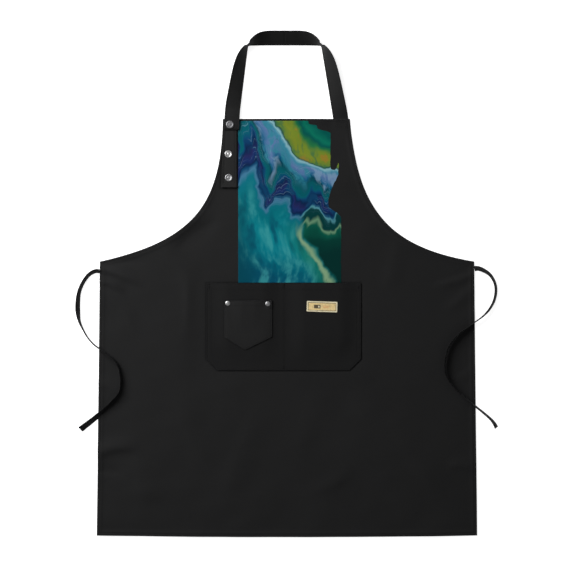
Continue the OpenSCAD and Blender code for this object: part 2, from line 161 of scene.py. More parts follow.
class Nodes:
    """Short calls for building one material's node tree."""

    def __init__(self, name):
        self.material = bpy.data.materials.new(name)
        self.material.use_nodes = True
        self.tree = self.material.node_tree
        self.shader = self.tree.nodes["Principled BSDF"]
        coordinates = self.add("ShaderNodeTexCoord")
        self.place = coordinates.outputs["Object"]

    def add(self, kind, **settings):
        node = self.tree.nodes.new(kind)
        for key, value in settings.items():
            setattr(node, key, value)
        return node

    def put(self, socket, value):
        if isinstance(value, bpy.types.NodeSocket):
            self.tree.links.new(value, socket)
        else:
            socket.default_value = value

    def math(self, operation, a, b=0.0, c=0.0):
        node = self.add("ShaderNodeMath", operation=operation)
        for socket, value in zip(node.inputs, (a, b, c)):
            self.put(socket, value)
        return node.outputs[0]

    def vector(self, operation, a, b=(0, 0, 0), scale=1.0):
        node = self.add("ShaderNodeVectorMath", operation=operation)
        self.put(node.inputs[0], a)
        if operation == "SCALE":
            self.put(node.inputs["Scale"], scale)
        else:
            self.put(node.inputs[1], b)
        return node.outputs[0]

    def noise(self, place, scale, detail=2.0, roughness=0.5, output="Fac"):
        node = self.add("ShaderNodeTexNoise")
        self.put(node.inputs["Vector"], place)
        for name, value in (("Scale", scale), ("Detail", detail), ("Roughness", roughness)):
            node.inputs[name].default_value = value
        return node.outputs[output]

    def wave(self, direction, period, distortion=0.0, place=None, profile="SIN"):
        """Bands a period apart across a direction."""
        node = self.add("ShaderNodeTexWave", bands_direction=direction, wave_profile=profile)
        self.put(node.inputs["Vector"], place or self.place)
        node.inputs["Scale"].default_value = math.tau / (20 * period)
        node.inputs["Distortion"].default_value = distortion
        return node.outputs["Fac"]

    def ramp(self, fac, stops):
        node = self.add("ShaderNodeValToRGB")
        elements = node.color_ramp.elements
        while len(elements) < len(stops):
            elements.new(0.5)
        for element, (position, colour) in zip(elements, stops):
            element.position = position
            element.color = (*colour, 1)
        self.put(node.inputs["Fac"], fac)
        return node.outputs["Color"]

    def mix(self, fac, a, b, blend="MIX"):
        node = self.add("ShaderNodeMix", data_type="RGBA", blend_type=blend)
        self.put(node.inputs["Factor"], fac)
        for socket, value in ((node.inputs[6], a), (node.inputs[7], b)):
            self.put(socket, value if isinstance(value, bpy.types.NodeSocket) else (*value, 1))
        return node.outputs[2]

    def step(self, value, low, high):
        node = self.add("ShaderNodeMapRange", interpolation_type="SMOOTHSTEP")
        self.put(node.inputs["Value"], value)
        node.inputs["From Min"].default_value = low
        node.inputs["From Max"].default_value = high
        return node.outputs["Result"]

    def bump(self, height, strength, distance, under=None):
        node = self.add("ShaderNodeBump")
        node.inputs["Strength"].default_value = strength
        node.inputs["Distance"].default_value = distance
        self.put(node.inputs["Height"], height)
        if under is not None:
            self.put(node.inputs["Normal"], under)
        return node.outputs["Normal"]

    def finish(self, colour, roughness, normal, **fixed):
        self.put(self.shader.inputs["Base Color"], colour)
        self.put(self.shader.inputs["Roughness"], roughness)
        self.put(self.shader.inputs["Normal"], normal)
        for name, value in fixed.items():
            self.shader.inputs[name.replace("_", " ")].default_value = value
        return self.material

    def weave(self, pitch):
        """Height of a plain weave: threads that pass over and under each other."""
        warp = self.wave("X", 2 * pitch)
        weft = self.wave("Y", 2 * pitch)
        over = self.math("MULTIPLY", warp, weft)
        under = self.math("MULTIPLY", self.math("SUBTRACT", 1.0, warp), self.math("SUBTRACT", 1.0, weft))
        return self.math("MAXIMUM", over, under)


def canvas_material(name, colour, pitch, sheen=0.12):
    """Woven cotton: a plain weave, uneven dye, loose fibres, paler worn edges and painted shade."""
    n = Nodes(name)
    weave = n.weave(pitch)
    slubs = n.noise(n.vector("MULTIPLY", n.place, (1, 9, 1)), 160, 3)
    patches = n.noise(n.place, 9, 4, 0.6)
    fibres = n.noise(n.place, 2400, 2)
    wear = n.add("ShaderNodeAttribute", attribute_name="wear").outputs["Fac"]
    dark = tuple(c * 0.93 for c in colour)
    light = tuple(c * 1.09 for c in colour)
    pale = tuple(c * 1.5 for c in colour)
    tone = n.mix(n.step(patches, 0.3, 0.7), dark, light)
    tone = n.mix(n.math("MULTIPLY", slubs, 0.35), tone, light)
    threads = n.mix(weave, (0.62, 0.62, 0.62), (1.12, 1.12, 1.12))
    tone = n.mix(0.8, tone, threads, "MULTIPLY")
    tone = n.mix(n.math("MULTIPLY", wear, n.step(fibres, 0.4, 0.65)), tone, pale)
    # Painted shade: the shade attribute darkens the cloth in cracks beside sewn-on pieces, along their edges
    # and on the top of the strap's loop
    shade = n.add("ShaderNodeAttribute", attribute_name="shade").outputs["Fac"]
    tone = n.mix(shade, tone, tuple(c * 0.12 for c in colour))
    rough = n.math("MULTIPLY_ADD", patches, 0.12, 0.78)
    fine = n.bump(fibres, 0.12, 0.15 * MM)
    normal = n.bump(weave, 0.45, 0.2 * MM, fine)
    return n.finish(
        tone, rough, normal,
        Specular_IOR_Level=0.2, Sheen_Weight=sheen, Sheen_Roughness=0.45, Sheen_Tint=(0.9, 0.92, 1.0, 1),
    )


def thread_material(name, colour):
    """Twisted sewing thread."""
    n = Nodes(name)
    twist = n.wave("DIAGONAL", 0.35 * MM, 1.0)
    tone = n.mix(twist, tuple(c * 0.6 for c in colour), tuple(c * 1.3 for c in colour))
    normal = n.bump(twist, 0.4, 0.08 * MM)
    return n.finish(tone, 0.72, normal, Specular_IOR_Level=0.15, Sheen_Weight=0.05)


def metal_material(name, colour, roughness, scratch, metallic=1.0):
    """Plated metal with fine scratches and a little tarnish."""
    n = Nodes(name)
    stretched = n.vector("MULTIPLY", n.place, (1, 14, 1))
    scratches = n.noise(stretched, 900, 3)
    cloud = n.noise(n.place, 260, 3)
    tone = n.mix(n.step(cloud, 0.35, 0.75), colour, tuple(c * 0.78 for c in colour))
    rough = n.math("MULTIPLY_ADD", scratches, 0.16, roughness)
    normal = n.bump(scratches, scratch, 0.03 * MM)
    return n.finish(tone, rough, normal, Metallic=metallic)


def print_material():
    """Poured and marbled paint: bands of blue, teal and green that lie round the top right corner
    and are combed into peaks, with soft clouds on the lower left and dark green on the lower right."""
    n = Nodes("print_marble")
    width = print_high.x - print_low.x
    spot = n.vector("SUBTRACT", n.place, (print_low.x, print_low.y, 0))
    spot = n.vector("SCALE", spot, scale=1 / width)
    slow = n.noise(spot, 1.7, 1, 0.4, output="Color")
    slow = n.vector("SCALE", n.vector("SUBTRACT", slow, (0.5, 0.5, 0.5)), scale=0.34)
    bent = n.vector("ADD", spot, slow)
    quick = n.noise(bent, 6.5, 2, 0.5, output="Color")
    quick = n.vector("SCALE", n.vector("SUBTRACT", quick, (0.5, 0.5, 0.5)), scale=0.1)
    flow = n.vector("ADD", bent, quick)
    parts = n.add("ShaderNodeSeparateXYZ")
    n.put(parts.inputs[0], flow)
    across, up = parts.outputs[0], parts.outputs[1]

    def less(value, low, high):
        """1 below low, falling to 0 at high."""
        return n.math("SUBTRACT", 1.0, n.step(value, low, high))

    def times(*values):
        made = values[0]
        for value in values[1:]:
            made = n.math("MULTIPLY", made, value)
        return made

    def painted(tone, colour, *factors):
        """A colour laid over a tone, as strongly as the factors multiplied together."""
        return n.mix(times(*factors), tone, colour)

    def streaks(place, scale, *settings):
        """Noise on a place that is stretched, so that its features are drawn out."""
        return n.noise(n.vector("MULTIPLY", *place), scale, *settings)

    # Distance from a point beyond the top right corner, in print widths
    right = n.math("SUBTRACT", across, 0.95)
    down = n.math("SUBTRACT", up, 1.75)
    level = n.math("SQRT", n.math("ADD", times(right, right), times(down, down)))
    # Combed peaks, strongest on the left of the middle
    comb = n.step(n.wave("X", 0.28, 0.0, flow, "TRI"), 0.0, 1.0)
    small = n.wave("X", 0.1, 0.0, flow, "TRI")
    middle_part = times(n.step(level, 0.62, 0.9), less(level, 1.22, 1.42))
    tall = n.math("MULTIPLY_ADD", less(across, 0.3, 0.8), 0.13, 0.09)
    level = n.math("ADD", level, times(n.math("SUBTRACT", comb, 0.5), tall, middle_part))
    level = n.math("ADD", level, times(n.math("SUBTRACT", small, 0.5), 0.05, middle_part))
    fine = streaks((flow, (1.0, 0.5, 1.0)), 11, 1, 0.5)
    level = n.math("MULTIPLY_ADD", n.math("SUBTRACT", fine, 0.5), 0.06, level)
    teal, deep, navy = (0.0, 0.105, 0.13), (0.0, 0.055, 0.09), (0.002, 0.018, 0.075)
    blue, lilac, ice = (0.002, 0.11, 0.23), (0.12, 0.21, 0.43), (0.3, 0.57, 0.63)
    violet, sky, lime = (0.018, 0.022, 0.11), (0.05, 0.27, 0.4), (0.19, 0.28, 0.028)
    bands = [
        (0.0, (0.0, 0.09, 0.075)), (0.26, (0.0, 0.11, 0.09)), (0.33, (0.002, 0.19, 0.12)),
        (0.38, (0.0, 0.1, 0.085)), (0.43, (0.02, 0.19, 0.06)), (0.48, lime), (0.55, (0.23, 0.29, 0.026)),
        (0.6, (0.13, 0.24, 0.04)), (0.618, (0.004, 0.08, 0.075)), (0.635, ice), (0.665, sky), (0.71, lilac),
        (0.755, (0.06, 0.18, 0.36)), (0.8, blue), (0.84, deep), (0.89, teal), (0.94, (0.0, 0.12, 0.16)),
        (0.97, (0.003, 0.06, 0.17)), (1.00, navy), (1.03, violet), (1.06, (0.01, 0.03, 0.14)), (1.095, navy),
        (1.12, (0.004, 0.07, 0.17)),
    ]
    blue_side = n.ramp(n.math("DIVIDE", level, 2.0), [(at / 2, tone) for at, tone in bands + [
        (1.155, (0.06, 0.21, 0.35)), (1.2, (0.002, 0.17, 0.23)), (1.26, (0.0, 0.18, 0.22)),
        (1.45, (0.003, 0.26, 0.31)), (1.65, (0.0, 0.17, 0.23)), (1.85, (0.0, 0.09, 0.16)),
    ]])
    green_side = n.ramp(n.math("DIVIDE", level, 2.0), [(at / 2, tone) for at, tone in bands + [
        (1.14, (0.09, 0.33, 0.39)), (1.165, (0.0, 0.05, 0.055)), (1.24, (0.0, 0.045, 0.045)),
        (1.275, (0.16, 0.33, 0.19)), (1.3, (0.002, 0.11, 0.07)), (1.37, (0.0, 0.048, 0.036)),
        (1.5, (0.0, 0.032, 0.028)),
    ]])
    # The line between the two sides runs down to the right, with a pale edge
    cross = n.math("MULTIPLY_ADD", up, 0.62, across)
    side = n.step(cross, 0.93, 0.99)
    tone = n.mix(side, blue_side, green_side)
    low_part = n.step(level, 1.2, 1.36)
    left_side = n.math("SUBTRACT", 1.0, side)
    # Soft clouds in the wide bands
    cloud = streaks((bent, (2.2, 1.0, 1.0)), 3.4, 3, 0.55)
    tone = painted(tone, (0.05, 0.37, 0.39), n.step(cloud, 0.46, 0.64), low_part, left_side, 0.75)
    tone = painted(tone, (0.0, 0.08, 0.14), less(cloud, 0.32, 0.5), low_part, left_side, 0.8)
    tone = painted(tone, (0.0, 0.065, 0.095), less(across, -0.02, 0.24), low_part, 0.75)
    tone = painted(tone, (0.01, 0.21, 0.12), n.step(cross, 0.66, 0.92), left_side, less(up, 0.3, 0.6), 0.7)
    away = n.math("ABSOLUTE", n.math("SUBTRACT", cross, 0.925))
    tone = painted(tone, (0.3, 0.48, 0.27), less(away, 0.004, 0.045), less(up, 0.6, 0.85), low_part, 0.85)
    # Paler and darker strands in the blue bands
    strand = streaks((flow, (1.0, 0.45, 1.0)), 7.5, 3, 0.6)
    blue_part = times(n.step(level, 0.64, 0.69), less(level, 0.8, 0.9))
    tone = painted(tone, (0.03, 0.25, 0.33), n.step(strand, 0.5, 0.62), blue_part, 0.8)
    tone = painted(tone, (0.25, 0.4, 0.56), less(strand, 0.36, 0.46), blue_part, 0.6)
    band_part = times(n.step(level, 0.96, 1.02), less(level, 1.06, 1.13))
    tone = painted(tone, (0.002, 0.06, 0.15), n.step(strand, 0.48, 0.6), band_part, 0.85)
    # Warm streaks in the yellow green
    warm = streaks((flow, (1.0, 0.5, 1.0)), 11, 2, 0.6)
    top_part = less(n.math("ABSOLUTE", n.math("SUBTRACT", level, 0.54)), 0.05, 0.09)
    tone = painted(tone, (0.4, 0.21, 0.03), n.step(warm, 0.53, 0.64), top_part, 0.65)
    tone = painted(tone, (0.01, 0.15, 0.08), less(warm, 0.34, 0.46), top_part, 0.6)
    # Fine drawn-out lines that follow the bands
    gate = n.noise(flow, 4.2, 1)
    line_part = times(n.step(level, 0.58, 0.66), less(level, 1.14, 1.22))
    for count, pale_low, strength in ((58.0, 0.5, 0.4), (110.0, 0.46, 0.26)):
        lines = n.math("ABSOLUTE", n.math("SINE", n.math("MULTIPLY", level, count)))
        line = less(lines, 0.0, 0.18)
        gates = n.step(gate, pale_low, pale_low + 0.12), less(gate, 0.34, 0.48)
        for opened, colour in zip(gates, ((0.24, 0.46, 0.6), (0.003, 0.02, 0.05))):
            tone = painted(tone, colour, line, opened, line_part, strength)
    # The canvas under the film shows as a faint weave
    weave = n.weave(0.55 * MM)
    threads = n.mix(weave, (0.88, 0.88, 0.88), (1.03, 1.03, 1.03))
    tone = n.mix(1.0, tone, threads, "MULTIPLY")
    normal = n.bump(weave, 0.22, 0.12 * MM)
    return n.finish(tone, 0.6, normal, Specular_IOR_Level=0.06)


# ---- Mesh building ----

def ramp(value, low, high):
    """A smooth rise from 0 at low to 1 at high."""
    t = np.clip((value - low) / (high - low), 0, 1)
    return t * t * (3 - 2 * t)


def new_object(name, verts, faces, material, wear=None, shade=None):
    """A smooth mesh object. wear gives each point's paler wear, and shade its painted shade."""
    data = bpy.data.meshes.new(name)
    data.from_pydata([tuple(map(float, v)) for v in verts], [], faces)
    data.validate()
    for polygon in data.polygons:
        polygon.use_smooth = True
    for title, values in (("wear", wear), ("shade", shade)):
        if values is not None:
            attribute = data.attributes.new(title, "FLOAT", "POINT")
            attribute.data.foreach_set("value", np.asarray(values, np.float32))
    data.materials.append(material)
    made = bpy.data.objects.new(name, data)
    bpy.context.collection.objects.link(made)
    return made


def tube_faces(rings, count, first=0):
    """Faces of a tube of rings that each have a count of points: its sides, then its two ends."""
    faces = []
    last = first + (rings - 1) * count
    for start in range(first, last, count):
        for k in range(count):
            a, b = start + k, start + (k + 1) % count
            faces.append((a, b, b + count, a + count))
    faces.append(tuple(reversed(range(first, first + count))))
    faces.append(tuple(range(last, last + count)))
    return faces


def along(line, step):
    """The same line with its points about a step apart. A fourth column is carried along."""
    line = np.asarray(line, float)
    gaps = np.linalg.norm(np.diff(line[:, :3], axis=0), axis=1)
    length = np.concatenate([[0], np.cumsum(gaps)])
    count = max(2, math.ceil(length[-1] / step))
    at = np.linspace(0, length[-1], count + 1)
    return np.column_stack([np.interp(at, length, line[:, k]) for k in range(line.shape[1])])


def bezier(a, b, c, d, count):
    t = np.linspace(0, 1, count)[:, None]
    a, b, c, d = (np.array(p, float) for p in (a, b, c, d))
    return a * (1 - t) ** 3 + 3 * b * t * (1 - t) ** 2 + 3 * c * t * t * (1 - t) + d * t ** 3


def smooth_line(points, step):
    """A curve through points (Catmull-Rom), sampled about a step apart."""
    p = np.asarray(points, float)
    p = np.vstack([2 * p[0] - p[1], p, 2 * p[-1] - p[-2]])
    out = []
    for i in range(1, len(p) - 2):
        for t in np.linspace(0, 1, 12, endpoint=False):
            a, b, c, d = p[i - 1], p[i], p[i + 1], p[i + 2]
            out.append(0.5 * (2 * b + (c - a) * t + (2 * a - 5 * b + 4 * c - d) * t ** 2
                              + (3 * b - a - 3 * c + d) * t ** 3))
    out.append(p[-2])
    return along(out, step)


MITRE_REACH = 60 * MM


class Outline:
    """A closed outline, counter-clockwise, of sides that meet in corners. It gives copies of
    itself set in from the edge."""

    def __init__(self, sides, step):
        self.sides = [along(side, step) for side in sides]
        self.normals = []
        self.arcs = []
        for side in self.sides:
            tangent = np.gradient(side, axis=0)
            tangent /= np.linalg.norm(tangent, axis=1)[:, None]
            self.normals.append(np.column_stack([-tangent[:, 1], tangent[:, 0]]))
            gaps = np.linalg.norm(np.diff(side, axis=0), axis=1)
            self.arcs.append(np.concatenate([[0], np.cumsum(gaps)]))

    def mitre(self, before, after):
        a, b = self.normals[before][-1], self.normals[after][0]
        return (a + b) / (1 + a @ b)

    def side(self, i, inset):
        """One side set in by a distance, with both its corners."""
        count = len(self.sides)
        normal, arc = self.normals[i], self.arcs[i]
        start = self.mitre((i - 1) % count, i) - normal[0]
        end = self.mitre(i, (i + 1) % count) - normal[-1]
        reach = min(MITRE_REACH, 0.45 * arc[-1])
        near_start = np.clip(1 - arc / reach, 0, 1)[:, None]
        near_end = np.clip(1 - (arc[-1] - arc) / reach, 0, 1)[:, None]
        return self.sides[i] + inset * (normal + start * near_start + end * near_end)

    def ring(self, inset):
        return np.vstack([self.side(i, inset)[:-1] for i in range(len(self.sides))])

    def travel(self):
        """Distance along the outline of each point of a ring."""
        total, out = 0.0, []
        for arc in self.arcs:
            out.append(arc[:-1] + total)
            total += arc[-1]
        return np.concatenate(out)


def inside(points, loop):
    """Which of the points lie inside a loop."""
    x, y = points[:, 0], points[:, 1]
    hit = np.zeros(len(points), bool)
    for (x0, y0), (x1, y1) in zip(loop, np.roll(loop, -1, axis=0)):
        if y0 == y1:
            continue
        hit ^= ((y0 > y) != (y1 > y)) & (x < (x1 - x0) * (y - y0) / (y1 - y0) + x0)
    return hit


def grid_inside(loop, spacing):
    """A triangle grid of points inside a loop, clear of its edge."""
    low, high = loop.min(0), loop.max(0)
    rows = np.arange(low[1], high[1], spacing * 0.866)
    points = []
    for k, y in enumerate(rows):
        xs = np.arange(low[0] + (k % 2) * spacing / 2, high[0], spacing)
        points.append(np.column_stack([xs, np.full(len(xs), y)]))
    points = np.vstack(points)
    points = points[inside(points, loop)]
    return points[nearest(points, loop)[0] > 0.6 * spacing]


def nearest(points, loop):
    """Distance to the nearest of a loop's points, and that point's number."""
    distance, which = [], []
    for chunk in np.array_split(points, max(1, len(points) // 2000)):
        gap = ((chunk[:, None, :] - loop[None]) ** 2).sum(2)
        which.append(gap.argmin(1))
        distance.append(np.sqrt(gap.min(1)))
    return np.concatenate(distance), np.concatenate(which)


SEAM_CLEAR = 1.2 * MM       # least gap from a seam's points to the edge rings
NET_CLEAR = 1.5 * MM        # and from the net's points to a seam
BACK_SHADE = 0.35           # how much of the painted shade shows on the back


def cloth(name, outline, insets, spacing, top, under, material, seams=(), shaded=None):
    """A closed sheet of cloth: rings along its edge and a triangle net inside, finer along seams.
    top gives the height of its front from x, y, distance in from the edge and distance along the
    edge. under gives the height of its back from the same values and the front's height."""
    rings = [outline.ring(inset) for inset in insets]
    count = len(rings[0])
    last = (len(rings) - 1) * count
    grid = grid_inside(rings[-1], spacing)
    for seam in seams:
        seam = seam[inside(seam, rings[-1])]
        seam = seam[nearest(seam, rings[-1])[0] > SEAM_CLEAR]
        grid = np.vstack([grid[nearest(grid, seam)[0] > NET_CLEAR], seam])
    net = [Vector(p) for p in np.vstack([rings[-1], grid])]
    points, _, triangles, origins, _, _ = geometry.delaunay_2d_cdt(net, [], [list(range(count))], 1, 1e-7)
    number = {}
    for k, ids in enumerate(origins):
        number[k] = ids[0] if ids else len(net)
        if not ids:
            net.append(points[k])
    inner = np.array(net[count:])
    flat = np.vstack(rings + [inner])
    travel = outline.travel()
    d = np.concatenate([np.full(count, inset) for inset in insets] + [np.full(len(inner), 1.0)])
    s = np.concatenate([travel] * len(rings) + [np.zeros(len(inner))])
    x, y = flat[:, 0], flat[:, 1]
    high = top(x, y, d, s)
    low = under(x, y, d, s, high)
    high[:count] = (high[:count] + low[:count]) / 2
    verts = [np.column_stack([flat, high]), np.column_stack([flat[count:], low[count:]])]
    total = len(flat)

    def lower(i):
        return i if i < count else i + total - count

    faces = []
    for r in range(len(rings) - 1):
        for k in range(count):
            a, b = r * count + k, r * count + (k + 1) % count
            faces.append((a, b, b + count, a + count))
    for triangle in triangles:
        faces.append(tuple(last + number[v] for v in triangle))
    faces += [tuple(lower(v) for v in reversed(face)) for face in faces]
    wear = np.exp(-d / (1.2 * MM))
    # Painted shade, darker in cracks and along edges, with a share of it on the back
    shade = shaded(x, y, d) if shaded else np.zeros(total)
    wear = np.concatenate([wear, wear[count:]])
    shade = np.concatenate([shade, BACK_SHADE * shade[count:]])
    return new_object(name, np.vstack(verts), faces, material, wear, shade)


def ribbon(name, stations, width, thick, material, seams, shades=None):
    """A flat strap along stations of (edge point, direction across, direction up). Its section has
    round edges, and a shallow groove along each seam."""
    marks = {0, 0.15 * MM, 0.5 * MM, 1.2 * MM}
    for seam in seams:
        marks |= {seam - 0.6 * MM, seam, seam + 0.6 * MM}
    half = sorted(m for m in marks if m <= width / 2)
    across = half + [width / 2] + [width - m for m in reversed(half)]
    across = np.array(sorted(set(across)))
    edge = np.minimum(across, width - across)
    body = np.sqrt(1 - (1 - np.clip(edge / (0.6 * MM), 0, 1)) ** 2)
    for seam in seams:
        body = body - 0.28 * np.exp(-((edge - seam) / (0.45 * MM)) ** 2)
    loop = [(a, h) for a, h in zip(across, body)] + [(a, -h) for a, h in list(zip(across, body))[-2:0:-1]]
    n = len(loop)
    verts = []
    for base, side, up in stations:
        for a, h in loop:
            verts.append(base + side * a + up * (h * thick / 2))
    faces = [(face[0],) + face[:0:-1] for face in tube_faces(len(stations), n)]
    edge_wear = np.exp(-np.array([min(a, width - a) for a, _ in loop]) / (1.0 * MM))
    # Painted shade for each station, from shades
    shades = np.zeros(len(stations)) if shades is None else np.asarray(shades)
    made = new_object(name, verts, faces, material, np.tile(edge_wear, len(stations)), np.repeat(shades, n))
    for cap in made.data.polygons[-2:]:
        cap.use_smooth = False
    return made


def lathe(name, centre, profile, material, steps=64):
    """A round piece about a vertical line, from a profile of (radius, height)."""
    verts = []
    for radius, height in profile:
        for k in range(steps):
            angle = math.tau * k / steps
            verts.append((centre[0] + radius * math.cos(angle), centre[1] + radius * math.sin(angle), height))
    return new_object(name, verts, tube_faces(len(profile), steps), material)


def profile_of(*parts):
    """Points (radius, height) of a round piece, from parts that each give a radius, a height and the
    steps from them in millimetres."""
    return [(r + out * MM, z + up * MM) for r, z, steps in parts for out, up in steps]


STITCH = 2.7 * MM
STITCH_GAP = 1.0 * MM
THREAD_R = 0.22 * MM
STITCH_SHAPE = [(-0.5, 0.25, -1.0), (-0.42, 0.8, 0.0), (-0.2, 1.0, 0.75), (0.2, 1.0, 0.75), (0.42, 0.8, 0.0),
                (0.5, 0.25, -1.0)]


def stitches(name, rows, material, length=STITCH, radius=THREAD_R):
    """Separate stitches along rows of (points, ups): each is a short bowed thread that dips into
    the cloth at both ends."""
    verts, faces = [], []
    sides = 6
    pace = length + STITCH_GAP

    def at_reach(table, where):
        return np.array([np.interp(where, reach, column) for column in table.T])

    for points, ups in rows:
        points, ups = np.asarray(points, float), np.asarray(ups, float)
        reach = np.concatenate([[0], np.cumsum(np.linalg.norm(np.diff(points, axis=0), axis=1))])
        count = int((reach[-1] + STITCH_GAP) / pace)
        slack = (reach[-1] - count * pace + STITCH_GAP) / 2
        for k in range(count):
            start = slack + k * pace
            ring_start = len(verts)
            for at, fat, lift in STITCH_SHAPE:
                where = start + (at + 0.5) * length
                up = at_reach(ups, where)
                travel = at_reach(points, where + 0.1 * MM) - at_reach(points, where - 0.1 * MM)
                travel /= np.linalg.norm(travel)
                side = np.cross(travel, up)
                side /= np.linalg.norm(side)
                centre = at_reach(points, where) + up * lift * radius
                for c in range(sides):
                    angle = math.tau * c / sides
                    verts.append(centre + radius * fat * (side * math.cos(angle) + up * math.sin(angle)))
            faces += tube_faces(len(STITCH_SHAPE), sides, ring_start)
    return new_object(name, verts, faces, material)


def seam_rows(stations, at, thick):
    """Stitches along a strap, on both its faces."""
    rows = []
    for face in (1, -1):
        points = [b + w * at + u * (face * thick / 2 * 0.8) for b, w, u in stations]
        rows.append((points, [u * face for _, _, u in stations]))
    return rows


def cross_rows(station, start, end, thick):
    """Stitches across a strap, on both its faces."""
    b, w, u = station
    rows = []
    for face in (1, -1):
        points = [b + w * t + u * (face * thick / 2) for t in np.linspace(start, end, 8)]
        rows.append((points, [u * face] * len(points)))
    return rows


def on_root(piece, slot, *nodes):
    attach(piece, "root")
    if nodes:
        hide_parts(*nodes)
    return piece


UP = np.array([0, 0, 1.0])


# ---- Waist ties ----
# The routes are the ones in the part: x, y, height of the tape's lower side, and the angle at which
# the tape stands on that side. In the right tie's loop the angles are 1 to 9 degrees less than in
# the part, because the photo shows the tape a little wider there.

LEFT_TIE = [
    (-0.345, 0.024, 0.0003, 56), (-0.353, 0.024, 0.0003, 58), (-0.363, 0.019, 0.0001, 64),
    (-0.371, 0.01, 0.0001, 67), (-0.378, -0.002, 0.0001, 67), (-0.383, -0.016, 0.0001, 65),
    (-0.385, -0.032, 0.0001, 58), (-0.385, -0.05, 0.0001, 57), (-0.382, -0.068, 0.0001, 78),
    (-0.375, -0.084, 0.0001, 88), (-0.366, -0.099, 0.0008, 90), (-0.355, -0.111, 0.0023, 90),
    (-0.344, -0.119, 0.0023, 88), (-0.332, -0.128, 0.0023, 84), (-0.319, -0.138, 0.0023, 82),
    (-0.31, -0.151, 0.0023, 82), (-0.306, -0.167, 0.0023, 80), (-0.305, -0.184, 0.0023, 78),
    (-0.308, -0.199, 0.0023, 76), (-0.317, -0.211, 0.0023, 72), (-0.328, -0.223, 0.0023, 64),
    (-0.338, -0.233, 0.0023, 54), (-0.347, -0.241, 0.0023, 47), (-0.356, -0.2485, 0.0014, 44),
    (-0.365, -0.2555, 0.0003, 40), (-0.373, -0.2615, 0.0002, 36), (-0.3805, -0.2675, 0.0002, 32),
]
RIGHT_TIE = [
    (0.345, 0.029, 0.0003, 44), (0.353, 0.029, 0.0003, 48), (0.363, 0.025, 0.0001, 53),
    (0.373, 0.018, 0.0001, 59), (0.38, 0.008, 0.0001, 62), (0.384, -0.004, 0.0001, 62),
    (0.384, -0.018, 0.0001, 62), (0.38, -0.033, 0.0001, 64), (0.371, -0.048, 0.0004, 68),
    (0.359, -0.06, 0.0023, 75), (0.345, -0.07, 0.0023, 80), (0.332, -0.079, 0.0023, 78),
    (0.319, -0.089, 0.0023, 76), (0.306, -0.102, 0.0023, 74), (0.297, -0.116, 0.0023, 72),
    (0.292, -0.134, 0.0023, 72), (0.29, -0.152, 0.0023, 72), (0.293, -0.168, 0.0023, 72),
    (0.301, -0.182, 0.0023, 74), (0.312, -0.195, 0.0023, 76), (0.326, -0.207, 0.0023, 78),
    (0.338, -0.217, 0.0023, 78), (0.349, -0.2265, 0.0023, 76), (0.359, -0.2345, 0.0010, 74),
    (0.368, -0.242, 0.0001, 72), (0.376, -0.2495, 0.0001, 68), (0.3815, -0.2565, 0.0001, 60),
    (0.3855, -0.264, 0.0001, 54),
]


def tie_stations(route):
    """Edge point, direction across and direction up of the tape, all along its route."""
    line = smooth_line(route, 2.5 * MM)
    travel = np.gradient(line[:, :2], axis=0)
    travel /= np.linalg.norm(travel, axis=1)[:, None]
    stations = []
    for (x, y, z, turn), (tx, ty) in zip(line, travel):
        turn = math.radians(turn)
        flat = np.array([ty, -tx, 0])
        wide = flat * math.cos(turn) + UP * math.sin(turn)
        thick = np.cross(np.array([tx, ty, 0]), wide)
        centre = np.array([x, y, z + TIE_W / 2 * math.sin(turn) + TIE_T / 2 * math.cos(turn)])
        stations.append((centre - wide * TIE_W / 2, wide, -thick))
    return stations


def waist_tie(name, route, cloth_material, thread):
    stations = tie_stations(route)
    tie = ribbon(name, stations, TIE_W, TIE_T, cloth_material, (TIE_SEAM,))
    on_root(tie, "tie_tape", name.replace("_tape", ""))
    rows = seam_rows(stations, TIE_SEAM, TIE_T) + seam_rows(stations, TIE_W - TIE_SEAM, TIE_T)
    for back in (3, 5):  # stitches across the turned end
        rows += cross_rows(stations[-back], 0.15 * TIE_W, 0.85 * TIE_W, TIE_T)
    on_root(stitches(name + "_stitches", rows, thread, radius=0.2 * MM), "tie_tape")


# ---- Body cloth ----

def armhole(bib_x, pulls):
    top = Vector((bib_x, body_high.y))
    return bezier(top, top + pulls[0], WAIST + pulls[1], WAIST, 80)


def body_sides():
    hem_x = body_high.x
    x = np.linspace(hem_x, -hem_x, 40)
    hem = np.column_stack([x, body_low.y + HEM_BOW * (x / hem_x) ** 2])
    flip = np.array([-1, 1])
    side = np.array([tuple(WAIST), (hem_x, body_low.y + HEM_BOW)])
    bib = np.array([(BIB_RIGHT, body_high.y), (-BIB_LEFT, body_high.y)])
    # Counter-clockwise: up the right side, over the bib, down the left side and along the hem
    return [
        side[::-1], armhole(BIB_RIGHT, RIGHT_ARM)[::-1], bib, armhole(BIB_LEFT, LEFT_ARM) * flip,
        side * flip, hem[::-1],
    ]


def noise_at(x, y, size, seed, angle=0.0, stretch=1.0):
    """Smooth noise from -1 to 1 with features of a size, drawn out along an angle."""
    c, s = math.cos(angle), math.sin(angle)
    u, v = (x * c + y * s) / (size * stretch), (y * c - x * s) / size
    return np.array([noise.noise((a, b, seed)) for a, b in zip(u, v)])


def sides_of(points):
    return [np.array([a, b]) for a, b in zip(points, points[1:] + points[:1])]


def pocket_sides():
    low, high, cut = pocket_low, pocket_high, POCKET_CUT
    return sides_of([
        (high.x, high.y), (low.x, high.y), (low.x, low.y + cut), (low.x + cut, low.y),
        (high.x - cut, low.y), (high.x, low.y + cut),
    ])


def placket_sides():
    low, high = placket_low, placket_high
    return sides_of([(high.x, high.y), (high.x - PLACKET_TOP_W, high.y), (low.x, low.y), (high.x, low.y)])


POCKET_OUTLINE = Outline(pocket_sides(), 2.4 * MM)
PLACKET_OUTLINE = Outline(placket_sides(), 2 * MM)

